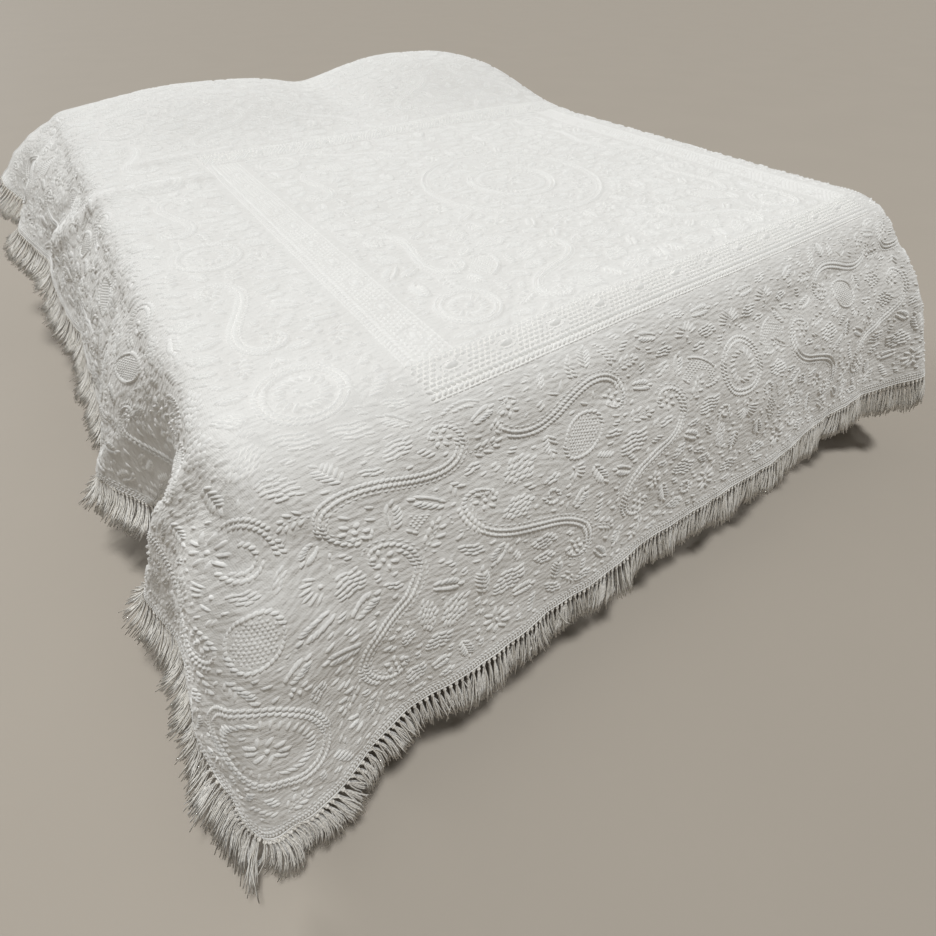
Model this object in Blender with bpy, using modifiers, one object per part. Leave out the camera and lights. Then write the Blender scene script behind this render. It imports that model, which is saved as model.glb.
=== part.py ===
"""Fringed matelasse bedspread draped over a plain made-up bed.

The foot of the bed faces -Y and its left side faces -X, with +Z up and all sizes in metres.
The origin lies on the floor under the middle of the mattress.
"""

import math

import bmesh
import bpy
import numpy as np
from mathutils import Vector

# Bed under the cloth
MATTRESS_WIDTH = 1.600
MATTRESS_LENGTH = 2.000
MATTRESS_INSET = 0.010
FOOT_PADDING = 0.020
MATTRESS_BEVEL = 0.090
BASE_HEIGHT = 0.380
BASE_INSET = 0.024
BASE_BEVEL = 0.012
TOP = 0.700
PIECE_GAP = 0.0003

# Cloth, laid flat around the mattress outline
CLOTH_THICK = 0.003
OVER_LEFT = 0.440
OVER_RIGHT = 0.550
OVER_FOOT = 0.490
HEAD_EDGE = 0.995
ROUND_LEFT = 0.055
ROUND_RIGHT = 0.080
ROUND_FOOT = 0.110
BELLY = 0.022
BELLY_HIGH = 0.25
OUTWARD_TILT = 0.25
DROP_LIFT_HIGH = 0.6
DROP_LIFT_GAIN = 0.4
TROUGH_SHARE = 0.6

# Fringe
STRIP_GAP = 0.0008
BEND_CLEARANCE = 0.006
CORNER_GAP = 0.0016
STRIP_HEIGHT = 0.008
STRIP_THICK = 0.0026
LOCK_PITCH = 0.026
LOCK_FILL = 0.62
LOCK_LENGTH = 0.088
LOCK_TAPER = 0.72
CORNER_FAN = 0.14
FAN_LEAN = 0.32
LOCK_DROOP = {"left": 0.05, "foot": 0.45, "right": 0.60}
LOCK_SPLAY = {"left": 0.50, "foot": 0.05, "right": 0.00}

# How unevenly the locks hang: share of the lock, and turns for each lock
SWAYS = [
    # share, turn, start
    (0.10, 1.70, 0.0),
    (0.06, 0.61, 1.0),
]
SPLAY_SWAY = (0.05, 2.30, 0.0)
LENGTH_SWAY = (0.07, 1.13, 0.4)
LOCK_THICKENING = 1.2

HALF_WIDTH = MATTRESS_WIDTH / 2.0
FOOT_LINE = -MATTRESS_LENGTH / 2.0 - FOOT_PADDING
U_LEFT = -HALF_WIDTH - OVER_LEFT
U_RIGHT = HALF_WIDTH + OVER_RIGHT
V_FOOT = FOOT_LINE - OVER_FOOT
LEFT_RUN = HEAD_EDGE - V_FOOT
FOOT_RUN = LEFT_RUN + U_RIGHT - U_LEFT
TINY = 1e-9

# The hem as it hangs: flat is where the point lies along its own edge of the flat cloth
HEM_LEFT = [
    # flat, x, y, drop
    (0.995, -1.027, 0.995, 0.175),
    (0.955, -1.022, 0.935, 0.195),
    (0.855, -0.979, 0.840, 0.255),
    (0.785, -1.025, 0.770, 0.272),
    (0.675, -1.007, 0.670, 0.305),
    (0.535, -0.972, 0.535, 0.328),
    (0.395, -0.979, 0.395, 0.356),
    (0.260, -0.965, 0.265, 0.386),
    (0.145, -0.950, 0.165, 0.398),
    (-0.085, -0.949, -0.030, 0.424),
    (-0.275, -0.949, -0.190, 0.433),
    (-0.355, -0.932, -0.257, 0.438),
    (-0.415, -0.936, -0.307, 0.445),
    (-0.490, -0.978, -0.357, 0.448),
    (-0.570, -0.966, -0.425, 0.442),
    (-0.665, -0.925, -0.500, 0.440),
    (-0.760, -0.869, -0.565, 0.455),
    (-0.832, -0.864, -0.617, 0.475),
    (-0.905, -0.919, -0.655, 0.485),
    (-0.960, -0.960, -0.685, 0.486),
    (-1.035, -0.952, -0.733, 0.495),
    (-1.122, -0.932, -0.802, 0.502),
    (-1.180, -0.930, -0.851, 0.505),
    (-1.315, -0.942, -0.970, 0.513),
    (-1.436, -0.925, -1.065, 0.554),
]
HEM_FOOT = [
    # flat, x, y, drop
    (-1.239, -0.908, -1.119, 0.584),
    (-1.162, -0.854, -1.138, 0.564),
    (-1.100, -0.809, -1.143, 0.545),
    (-1.027, -0.758, -1.134, 0.525),
    (-0.912, -0.671, -1.124, 0.496),
    (-0.772, -0.567, -1.136, 0.485),
    (-0.612, -0.438, -1.137, 0.485),
    (-0.537, -0.377, -1.133, 0.485),
    (-0.392, -0.255, -1.139, 0.485),
    (-0.227, -0.110, -1.136, 0.480),
    (-0.027, 0.070, -1.147, 0.480),
    (0.198, 0.276, -1.159, 0.480),
    (0.453, 0.509, -1.154, 0.475),
    (0.613, 0.648, -1.160, 0.475),
    (0.703, 0.723, -1.171, 0.468),
    (0.803, 0.797, -1.208, 0.446),
    (0.883, 0.851, -1.235, 0.428),
    (0.983, 0.885, -1.175, 0.450),
    (1.083, 0.885, -1.120, 0.505),
    (1.203, 0.923, -1.095, 0.540),
]
HEM_RIGHT = [
    # flat, x, y, drop
    (-1.510, 0.965, -1.050, 0.537),
    (-1.385, 0.967, -0.980, 0.540),
    (-1.255, 0.880, -0.920, 0.540),
    (-1.125, 0.867, -0.870, 0.540),
    (-0.995, 0.923, -0.820, 0.540),
    (-0.875, 0.925, -0.760, 0.540),
    (-0.745, 0.877, -0.695, 0.540),
    (-0.605, 0.877, -0.595, 0.540),
    (-0.435, 0.909, -0.445, 0.538),
    (-0.205, 0.887, -0.210, 0.538),
    (0.075, 0.907, 0.075, 0.535),
    (0.375, 0.889, 0.375, 0.533),
    (0.635, 0.915, 0.635, 0.520),
    (0.815, 0.893, 0.815, 0.500),
    (0.995, 0.910, 0.995, 0.485),
]

# Humps that the pillows raise in the cloth
PILLOW_HUMPS = [
    # name, middle x, middle y, half width, half length, height
    ("left", -0.315, 0.750, 0.375, 0.330, 0.083),
    ("right", 0.480, 0.690, 0.365, 0.360, 0.136),
]
HUMP_FALL = 0.9
HUMP_POWER_ACROSS = 3.0
HUMP_POWER_ALONG = 2.6
HUMP_BLEND = 3.0
PILLOW_SHARE = 0.80
PILLOW_THICK_SHARE = 0.86
PILLOW_SQUARENESS = 0.18
PILLOW_SEGMENTS = 24
PILLOW_RINGS = 12

# Slight unevenness of the bed's top: crossed waves, in radians for each metre
RIPPLE_HEIGHT = 0.0035
RIPPLE_ACROSS = (5.1, 2.3, 0.6)
RIPPLE_ALONG = (-1.9, 3.7, 1.1)

# Creases and soft rolls on the flat cloth: a ridge has a height above zero and a trough one below
CREASES = [
    # name, start u, start v, end u, end v, half width, height
    ("pillow pull", -0.537, 0.025, -0.797, 0.005, 0.030, 0.010),
    ("side pull", -0.797, 0.005, -1.097, 0.425, 0.035, 0.016),
    ("side pocket", -0.897, 0.295, -1.207, 0.555, 0.040, -0.018),
    ("upper pull", -0.417, 0.220, -0.697, 0.210, 0.022, 0.008),
    ("pocket lip", -0.827, -0.365, -1.187, -0.425, 0.035, 0.016),
    ("pocket rim", -0.950, -0.735, -1.230, -0.520, 0.032, 0.018),
    ("pocket hollow", -0.965, -0.800, -1.240, -0.630, 0.044, -0.040),
    ("foot roll", -0.657, -1.085, -0.877, -1.305, 0.045, 0.008),
    ("foot hollow", -0.467, -1.085, -0.637, -1.275, 0.045, -0.007),
]

CREASE_END_SLOPE = 4.0
CREASE_END_SHARE = 0.5

# Rows and columns of the cloth's grid: the flat places where the spacing changes
COLUMNS = [
    # from u, to u, steps
    (U_LEFT, -HALF_WIDTH - ROUND_LEFT, 7),
    (-HALF_WIDTH - ROUND_LEFT, -HALF_WIDTH + ROUND_LEFT, 4),
    (-HALF_WIDTH + ROUND_LEFT, HALF_WIDTH - ROUND_RIGHT, 17),
    (HALF_WIDTH - ROUND_RIGHT, HALF_WIDTH + ROUND_RIGHT, 4),
    (HALF_WIDTH + ROUND_RIGHT, U_RIGHT, 8),
]
PILLOW_FOOT = -0.150
ROWS = [
    # from v, to v, steps
    (V_FOOT, FOOT_LINE - ROUND_FOOT, 7),
    (FOOT_LINE - ROUND_FOOT, FOOT_LINE + ROUND_FOOT, 5),
    (FOOT_LINE + ROUND_FOOT, PILLOW_FOOT, 20),
    (PILLOW_FOOT, HEAD_EDGE, 19),
]

COTTON_WHITE = (0.86, 0.86, 0.84)
YARN_WHITE = (0.80, 0.79, 0.77)
TICKING_GREY = (0.62, 0.62, 0.64)
BASE_GREY = (0.30, 0.29, 0.29)


def clear_scene():
    """Remove every object that the file opened with."""
    for item in list(bpy.data.objects):
        bpy.data.objects.remove(item, do_unlink=True)


def make_collection(name):
    group = bpy.data.collections.new(name)
    bpy.context.scene.collection.children.link(group)
    return group


def make_material(name, color, roughness):
    """A plain non-metal with the given linear colour."""
    material = bpy.data.materials.new(name)
    material.use_nodes = True
    shader = material.node_tree.nodes["Principled BSDF"]
    shader.inputs["Base Color"].default_value = (*color, 1.0)
    shader.inputs["Roughness"].default_value = roughness
    shader.inputs["Metallic"].default_value = 0.0
    return material


def add_object(name, mesh, material, group):
    item = bpy.data.objects.new(name, mesh)
    item.data.materials.append(material)
    group.objects.link(item)
    return item


def smoothstep(value):
    value = min(max(value, 0.0), 1.0)
    return value * value * (3.0 - 2.0 * value)


def hump_height(x, y):
    """Height of the cloth over the pillows, with a valley where the two meet."""
    total = 0.0
    for _, middle_x, middle_y, half_width, half_length, height in PILLOW_HUMPS:
        across = abs(x - middle_x) / half_width
        along = abs(y - middle_y) / half_length
        reach = across ** HUMP_POWER_ACROSS + along ** HUMP_POWER_ALONG
        total += (height * math.exp(-HUMP_FALL * reach)) ** HUMP_BLEND
    return total ** (1.0 / HUMP_BLEND)


def top_height(x, y):
    """Upper face of the bed as the cloth meets it, uneven by a few millimetres."""
    waves = [math.sin(in_x * x + in_y * y + start) for in_x, in_y, start in (RIPPLE_ACROSS, RIPPLE_ALONG)]
    return TOP + max(0.0, RIPPLE_HEIGHT * waves[0] * waves[1]) + hump_height(x, y)


def run_along_hem():
    """The hem's rows in one list, by distance along the flat hem from the left head corner."""
    rows = [(HEAD_EDGE - flat, x, y, TOP - drop) for flat, x, y, drop in HEM_LEFT]
    rows += [(LEFT_RUN + flat - U_LEFT, x, y, TOP - drop) for flat, x, y, drop in HEM_FOOT]
    rows += [(FOOT_RUN + flat - V_FOOT, x, y, TOP - drop) for flat, x, y, drop in HEM_RIGHT]
    return np.array(rows)


HEM_RUN = run_along_hem()


def hem_point(run):
    """Point of the hanging hem at a distance along it, on a smooth curve through the rows."""
    stations = HEM_RUN[:, 0]
    index = int(np.clip(np.searchsorted(stations, run) - 1, 0, len(stations) - 2))
    low = max(index - 1, 0)
    high = min(index + 2, len(stations) - 1)
    span = stations[index + 1] - stations[index]
    here, there = HEM_RUN[index, 1:], HEM_RUN[index + 1, 1:]
    slope_here = (there - HEM_RUN[low, 1:]) / (stations[index + 1] - stations[low])
    slope_there = (HEM_RUN[high, 1:] - here) / (stations[high] - stations[index])
    part = min(max((run - stations[index]) / span, 0.0), 1.0)
    square, cube = part * part, part * part * part
    point = (2.0 * cube - 3.0 * square + 1.0) * here + (cube - 2.0 * square + part) * span * slope_here
    point = point + (3.0 * square - 2.0 * cube) * there + (cube - square) * span * slope_there
    return Vector(point)


def crease_lift(u, v):
    """How far the creases raise or sink the cloth at a flat point."""
    lift = 0.0
    for _, start_u, start_v, end_u, end_v, half_width, height in CREASES:
        along_u, along_v = end_u - start_u, end_v - start_v
        length = math.hypot(along_u, along_v)
        part = ((u - start_u) * along_u + (v - start_v) * along_v) / length ** 2
        side = ((u - start_u) * along_v - (v - start_v) * along_u) / length
        start = smoothstep(part * CREASE_END_SLOPE + CREASE_END_SHARE)
        end = smoothstep((1.0 - part) * CREASE_END_SLOPE + CREASE_END_SHARE)
        lift += height * start * end * math.exp(-(side / half_width) ** 2)
    return lift


def drop_column(u, v):
    """The line down which a flat point hangs: its base, bed edge, hem run, share and edge share."""
    out_left = -HALF_WIDTH + ROUND_LEFT - u
    out_right = u - HALF_WIDTH + ROUND_RIGHT
    out_foot = FOOT_LINE + ROUND_FOOT - v
    sign, out_side, bend, over = -1.0, out_left, ROUND_LEFT, OVER_LEFT
    if out_right > 0.0:
        sign, out_side, bend, over = 1.0, out_right, ROUND_RIGHT, OVER_RIGHT
    if out_side <= 0.0 and out_foot <= 0.0:
        return None
    side_full, foot_full = bend + over, ROUND_FOOT + OVER_FOOT
    base_x = sign * (HALF_WIDTH - bend) if out_side > 0.0 else u
    base_y = FOOT_LINE + ROUND_FOOT if out_foot > 0.0 else v
    out_side, out_foot = max(out_side, 0.0), max(out_foot, 0.0)
    share = max(out_side / side_full, out_foot / foot_full)
    hem_side, hem_foot = out_side / share, out_foot / share
    reach = math.hypot(hem_side, hem_foot)
    edge_x = base_x + sign * bend * hem_side / reach
    edge_y = base_y - ROUND_FOOT * hem_foot / reach
    edge_share = math.hypot(edge_x - base_x, edge_y - base_y) / reach
    if hem_foot > foot_full - TINY:
        run = LEFT_RUN + base_x + sign * hem_side - U_LEFT
    elif sign > 0.0:
        run = FOOT_RUN + base_y - hem_foot - V_FOOT
    else:
        run = HEAD_EDGE - base_y + hem_foot
    return (base_x, base_y), (edge_x, edge_y), run, share, edge_share


def drape(u, v):
    """Middle of the hanging cloth at a flat point (u across the bed, v along it)."""
    column = drop_column(u, v)
    lift = crease_lift(u, v)
    if column is None:
        return Vector((u, v, top_height(u, v) + max(lift, 0.0)))
    (base_x, base_y), (edge_x, edge_y), run, share, edge_share = column
    base = Vector((base_x, base_y, top_height(base_x, base_y)))
    edge = Vector((edge_x, edge_y, top_height(edge_x, edge_y)))
    fall = (hem_point(run) - edge) / (1.0 - edge_share)
    outward = Vector((fall.x, fall.y, OUTWARD_TILT * fall.xy.length)).normalized()
    if share < 2.0 * edge_share:
        part = share / (2.0 * edge_share)
        point = base * (1.0 - part) ** 2 + edge * 2.0 * part * (1.0 - part)
        point += (edge + fall * edge_share) * part * part
        outward = Vector((0.0, 0.0, 1.0)).lerp(outward, part).normalized()
        ridge = max(lift, 0.0) * (1.0 - (1.0 - DROP_LIFT_HIGH) * part)
        trough = min(lift, 0.0) * TROUGH_SHARE * part * part
        return point + outward * (ridge + trough)
    part = (share - edge_share) / (1.0 - edge_share)
    down = math.pi * (share - 2.0 * edge_share) / (1.0 - 2.0 * edge_share)
    belly = BELLY * (math.sin(down) + BELLY_HIGH * math.sin(2.0 * down))
    lift *= DROP_LIFT_HIGH + DROP_LIFT_GAIN * part
    return edge + fall * (share - edge_share) + outward * (lift + belly)


def stations_of(bands):
    """Grid lines from the bands table."""
    lines = []
    for start, end, steps in bands:
        lines += [start + (end - start) * step / steps for step in range(steps)]
    return lines + [bands[-1][1]]


def make_bed_base(group):
    """Plain divan base that stands on the floor."""
    form = bmesh.new()
    bmesh.ops.create_cube(form, size=1.0)
    size = (MATTRESS_WIDTH - 2.0 * BASE_INSET, MATTRESS_LENGTH - 2.0 * BASE_INSET, BASE_HEIGHT)
    bmesh.ops.scale(form, vec=size, verts=form.verts)
    bmesh.ops.translate(form, vec=(0.0, 0.0, BASE_HEIGHT / 2.0), verts=form.verts)
    mesh = bpy.data.meshes.new("bed_base")
    form.to_mesh(mesh)
    form.free()
    item = add_object("bed_base", mesh, make_material("base ticking", BASE_GREY, 0.9), group)
    bevel = item.modifiers.new("eased edges", "BEVEL")
    bevel.width = BASE_BEVEL
    bevel.segments = 1
    return item


def make_mattress(group):
    """Plain mattress with well rounded edges, clear of the cloth that falls over them."""
    low = BASE_HEIGHT + PIECE_GAP
    high = TOP - CLOTH_THICK / 2.0 - PIECE_GAP
    form = bmesh.new()
    bmesh.ops.create_cube(form, size=1.0)
    size = (MATTRESS_WIDTH - 2.0 * MATTRESS_INSET, MATTRESS_LENGTH, high - low)
    bmesh.ops.scale(form, vec=size, verts=form.verts)
    bmesh.ops.translate(form, vec=(0.0, 0.0, (low + high) / 2.0), verts=form.verts)
    mesh = bpy.data.meshes.new("mattress")
    form.to_mesh(mesh)
    form.free()
    item = add_object("mattress", mesh, make_material("mattress ticking", TICKING_GREY, 0.9), group)
    bevel = item.modifiers.new("rounded edges", "BEVEL")
    bevel.width = MATTRESS_BEVEL
    bevel.segments = 4
    return item


def make_pillow(row, material, group):
    """Pillow with a flat underside and a crowned top, sunk under its own hump in the cloth."""
    name, middle_x, middle_y, half_width, half_length, height = row
    floor = TOP - CLOTH_THICK / 2.0
    form = bmesh.new()
    bmesh.ops.create_uvsphere(form, u_segments=PILLOW_SEGMENTS, v_segments=PILLOW_RINGS, radius=1.0)
    for vert in form.verts:
        direction = vert.co.copy()
        flat = max(abs(direction.x), abs(direction.y), TINY)
        square = 1.0 + PILLOW_SQUARENESS * (direction.xy.length / flat - 1.0)
        x = middle_x + direction.x * square * half_width * PILLOW_SHARE
        y = middle_y + direction.y * square * half_length * PILLOW_SHARE
        rise = max(direction.z, 0.0)
        vert.co = (x, y, floor + height * PILLOW_THICK_SHARE * rise)
    flat_faces = [face for face in form.faces if face.calc_center_median().z < floor + PIECE_GAP / 10.0]
    bmesh.ops.delete(form, geom=flat_faces, context="FACES")
    rim = [edge for edge in form.edges if edge.is_boundary]
    bmesh.ops.contextual_create(form, geom=rim)
    bmesh.ops.triangulate(form, faces=[face for face in form.faces if len(face.verts) > 4])
    bmesh.ops.recalc_face_normals(form, faces=form.faces)
    mesh = bpy.data.meshes.new("pillow_" + name)
    form.to_mesh(mesh)
    form.free()
    return add_object("pillow_" + name, mesh, material, group)


def make_bedspread(group):
    """The draped cloth: a flat grid, moved to where it hangs and given its thickness."""
    columns = stations_of(COLUMNS)
    rows = stations_of(ROWS)
    form = bmesh.new()
    bmesh.ops.create_grid(form, x_segments=len(columns) - 1, y_segments=len(rows) - 1, size=1.0)
    for vert in form.verts:
        column = round((vert.co.x + 1.0) / 2.0 * (len(columns) - 1))
        row = round((vert.co.y + 1.0) / 2.0 * (len(rows) - 1))
        vert.co = drape(columns[column], rows[row])
    bmesh.ops.recalc_face_normals(form, faces=form.faces)
    if sum(face.normal.z for face in form.faces) < 0.0:
        bmesh.ops.reverse_faces(form, faces=form.faces)
    mesh = bpy.data.meshes.new("bedspread")
    form.to_mesh(mesh)
    form.free()
    mesh.shade_smooth()
    item = add_object("bedspread", mesh, make_material("matelasse cotton", COTTON_WHITE, 0.85), group)
    thickness = item.modifiers.new("cloth thickness", "SOLIDIFY")
    thickness.thickness = CLOTH_THICK
    thickness.offset = 0.0
    thickness.use_even_offset = True
    return item


def hem_frames(flat_points):
    """Hem points with their outward facing and their direction away from the cloth."""
    inner = [drape(u + du, v + dv) for u, v, du, dv in flat_points]
    points = [drape(u, v) for u, v, _, _ in flat_points]
    frames = []
    for index, point in enumerate(points):
        before = points[max(index - 1, 0)]
        after = points[min(index + 1, len(points) - 1)]
        along = (after - before).normalized()
        away = (point - inner[index]).normalized()
        away = (away - along * away.dot(along)).normalized()
        bend = 0.0
        if 0 < index < len(points) - 1:
            bend = 1.0 - (point - before).normalized().dot((after - point).normalized())
        clear = point + away * bend * BEND_CLEARANCE
        frames.append((clear, along.cross(away), away, along))
    return frames


def fringe_points(side):
    """Flat points along one fringed edge at the cloth's own grid lines, with the way inwards."""
    columns, rows = stations_of(COLUMNS), stations_of(ROWS)
    if side == "left":
        return [(U_LEFT, v, columns[1] - columns[0], 0.0) for v in rows[::-1]]
    if side == "foot":
        return [(u, V_FOOT, 0.0, rows[1] - rows[0]) for u in columns]
    return [(U_RIGHT, v, columns[-2] - columns[-1], 0.0) for v in rows]


def sample_frames(frames, pitch):
    """Places at an even pitch along the straight runs between the cloth's hem points."""
    lengths = [0.0]
    for first, second in zip(frames, frames[1:]):
        lengths.append(lengths[-1] + (second[0] - first[0]).length)
    usable = lengths[-1] - 2.0 * STRIP_HEIGHT
    count = int(usable / pitch)
    samples = []
    for number in range(count):
        for offset in (0.0, LOCK_FILL):
            samples.append(STRIP_HEIGHT + usable * (number + offset) / (count - 1 + LOCK_FILL))
    places = []
    for distance in samples:
        index = int(np.clip(np.searchsorted(lengths, distance) - 1, 0, len(lengths) - 2))
        part = (distance - lengths[index]) / (lengths[index + 1] - lengths[index])
        first, second = frames[index], frames[index + 1]
        place = [one.lerp(other, part) for one, other in zip(first, second)]
        places.append((*place, distance))
    return places, lengths[-1]


def corner_reach(side, distance, length):
    """How near a corner of the cloth a lock is, from nothing to one, and which way it fans there."""
    at_start = side == "right" or (side == "foot" and distance < length / 2.0)
    near = distance if at_start else length - distance
    return smoothstep(1.0 - near / CORNER_FAN), -1.0 if at_start else 1.0


def sway_of(sway, number):
    """One slow unevenness along the fringe."""
    share, turn, start = sway
    return share * math.sin(number * turn + start)


def pull_lock(form, face, number, place, side, length):
    """Pull one lock of yarn out of the strip's underside."""
    _, facing, away, along, distance = place
    fan, toward = corner_reach(side, distance, length)
    lean = toward * FAN_LEAN * fan + sum(sway_of(sway, number) for sway in SWAYS)
    outward = -Vector((facing.x, facing.y, 0.0)).normalized()
    heading = away.normalized() + along.normalized() * lean
    heading += outward * (LOCK_SPLAY[side] + sway_of(SPLAY_SWAY, number))
    heading += Vector((0.0, 0.0, -LOCK_DROOP[side]))
    reach = LOCK_LENGTH * (1.0 + sway_of(LENGTH_SWAY, number))
    tip = bmesh.ops.extrude_discrete_faces(form, faces=[face])["faces"][0]
    middle = tip.calc_center_median()
    for vert in tip.verts:
        spread = vert.co - middle
        vert.co = middle + spread * LOCK_TAPER + facing.normalized() * spread.dot(facing) * LOCK_THICKENING
        vert.co += heading.normalized() * reach


def make_fringe(side, material, group):
    """Knotted heading strip with a lock of yarn under every other bay, all one piece."""
    places, length = sample_frames(hem_frames(fringe_points(side)), LOCK_PITCH)
    form = bmesh.new()
    rings = []
    for point, facing, away, _, distance in places:
        corners = []
        gap = STRIP_GAP + CORNER_GAP * corner_reach(side, distance, length)[0]
        for reach in (gap, gap + STRIP_HEIGHT):
            for lean in (-0.5, 0.5):
                spot = point + away.normalized() * reach + facing.normalized() * lean * STRIP_THICK
                corners.append(form.verts.new(spot))
        rings.append(corners)
    lower = []
    for number, (first, second) in enumerate(zip(rings, rings[1:])):
        for start, end in ((0, 1), (1, 3), (3, 2), (2, 0)):
            face = form.faces.new((first[start], first[end], second[end], second[start]))
            if (start, end) == (3, 2) and number % 2 == 0:
                lower.append((face, number))
    for corners in (rings[0], rings[-1]):
        form.faces.new((corners[0], corners[1], corners[3], corners[2]))
    for face, number in lower:
        pull_lock(form, face, number, places[number], side, length)
    bmesh.ops.recalc_face_normals(form, faces=form.faces)
    mesh = bpy.data.meshes.new("fringe_" + side)
    form.to_mesh(mesh)
    form.free()
    return add_object("fringe_" + side, mesh, material, group)


def main():
    clear_scene()
    group = make_collection("bedspread on bed")
    make_bed_base(group)
    make_mattress(group)
    pillow_cotton = make_material("pillow cotton", COTTON_WHITE, 0.9)
    for row in PILLOW_HUMPS:
        make_pillow(row, pillow_cotton, group)
    make_bedspread(group)
    yarn = make_material("cotton yarn", YARN_WHITE, 0.9)
    for side in ("left", "foot", "right"):
        make_fringe(side, yarn, group)


main()
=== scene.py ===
"""Looks of a fringed matelasse bedspread draped over its bed, laid out as a Blender add-on.

A flat place on the cloth is (u, v) in metres: u runs across the bed and v along it from the foot,
both counted from the middle of the mattress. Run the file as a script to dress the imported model.
"""

import math
from functools import lru_cache

import bmesh
import bpy
import numpy as np
from bpy.props import FloatProperty, FloatVectorProperty, IntProperty, PointerProperty
from mathutils import Matrix, Vector


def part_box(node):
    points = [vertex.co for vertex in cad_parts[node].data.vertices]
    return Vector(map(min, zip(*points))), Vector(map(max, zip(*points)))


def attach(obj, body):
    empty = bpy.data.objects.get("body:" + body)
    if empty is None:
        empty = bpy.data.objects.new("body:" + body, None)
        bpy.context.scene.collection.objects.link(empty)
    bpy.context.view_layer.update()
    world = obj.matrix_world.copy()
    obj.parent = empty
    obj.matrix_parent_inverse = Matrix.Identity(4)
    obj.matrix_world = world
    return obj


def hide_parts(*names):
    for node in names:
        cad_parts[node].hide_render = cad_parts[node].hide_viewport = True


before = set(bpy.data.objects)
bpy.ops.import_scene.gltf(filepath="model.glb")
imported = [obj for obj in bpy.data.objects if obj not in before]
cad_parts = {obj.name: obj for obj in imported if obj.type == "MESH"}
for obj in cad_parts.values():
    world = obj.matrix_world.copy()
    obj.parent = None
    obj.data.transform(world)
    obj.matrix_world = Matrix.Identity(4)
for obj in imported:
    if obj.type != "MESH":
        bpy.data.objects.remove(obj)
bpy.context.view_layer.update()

bl_info = {
    "name": "Matelasse Bedspread",
    "version": (1, 0, 0),
    "blender": (4, 5, 0),
    "location": "3D View > Sidebar > Bedspread",
    "description": "Cloth, raised pattern, fringe and bed of a draped matelasse bedspread",
    "category": "Object",
}

BODY = "root"
MM = 0.001

# Bed under the cloth
MATTRESS_WIDTH = 1.600
MATTRESS_LENGTH = 2.000
FOOT_PADDING = 0.020
TOP = 0.700

# Cloth, laid flat around the mattress outline
OVER_LEFT = 0.440
OVER_RIGHT = 0.550
OVER_FOOT = 0.490
HEAD_EDGE = 0.995
ROUND_LEFT = 0.055
ROUND_RIGHT = 0.080
ROUND_FOOT = 0.110
BELLY = 0.022
BELLY_HIGH = 0.25

HALF_WIDTH = MATTRESS_WIDTH / 2.0
FOOT_LINE = -MATTRESS_LENGTH / 2.0 - FOOT_PADDING
U_LEFT = -HALF_WIDTH - OVER_LEFT
U_RIGHT = HALF_WIDTH + OVER_RIGHT
V_FOOT = FOOT_LINE - OVER_FOOT
LEFT_RUN = HEAD_EDGE - V_FOOT
FOOT_RUN = LEFT_RUN + U_RIGHT - U_LEFT
TINY = 1e-9

# The hem as it hangs: flat is where the point lies along its own edge of the flat cloth
HEM_LEFT = [
    # flat, x, y, drop
    (0.995, -1.027, 0.995, 0.175),
    (0.955, -1.022, 0.935, 0.195),
    (0.855, -0.979, 0.840, 0.255),
    (0.785, -1.025, 0.770, 0.272),
    (0.675, -1.007, 0.670, 0.305),
    (0.535, -0.972, 0.535, 0.328),
    (0.395, -0.979, 0.395, 0.356),
    (0.260, -0.965, 0.265, 0.386),
    (0.145, -0.950, 0.165, 0.398),
    (-0.085, -0.949, -0.030, 0.424),
    (-0.275, -0.949, -0.190, 0.433),
    (-0.355, -0.932, -0.257, 0.438),
    (-0.415, -0.936, -0.307, 0.445),
    (-0.490, -0.978, -0.357, 0.448),
    (-0.570, -0.966, -0.425, 0.442),
    (-0.665, -0.925, -0.500, 0.440),
    (-0.760, -0.869, -0.565, 0.455),
    (-0.832, -0.864, -0.617, 0.475),
    (-0.905, -0.919, -0.655, 0.485),
    (-0.960, -0.960, -0.685, 0.486),
    (-1.035, -0.952, -0.733, 0.495),
    (-1.122, -0.932, -0.802, 0.502),
    (-1.180, -0.930, -0.851, 0.505),
    (-1.315, -0.942, -0.970, 0.513),
    (-1.436, -0.925, -1.065, 0.554),
]
HEM_FOOT = [
    # flat, x, y, drop
    (-1.239, -0.908, -1.119, 0.584),
    (-1.162, -0.854, -1.138, 0.564),
    (-1.100, -0.809, -1.143, 0.545),
    (-1.027, -0.758, -1.134, 0.525),
    (-0.912, -0.671, -1.124, 0.496),
    (-0.772, -0.567, -1.136, 0.485),
    (-0.612, -0.438, -1.137, 0.485),
    (-0.537, -0.377, -1.133, 0.485),
    (-0.392, -0.255, -1.139, 0.485),
    (-0.227, -0.110, -1.136, 0.480),
    (-0.027, 0.070, -1.147, 0.480),
    (0.198, 0.276, -1.159, 0.480),
    (0.453, 0.509, -1.154, 0.475),
    (0.613, 0.648, -1.160, 0.475),
    (0.703, 0.723, -1.171, 0.468),
    (0.803, 0.797, -1.208, 0.446),
    (0.883, 0.851, -1.235, 0.428),
    (0.983, 0.885, -1.175, 0.450),
    (1.083, 0.885, -1.120, 0.505),
    (1.203, 0.923, -1.095, 0.540),
]
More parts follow.
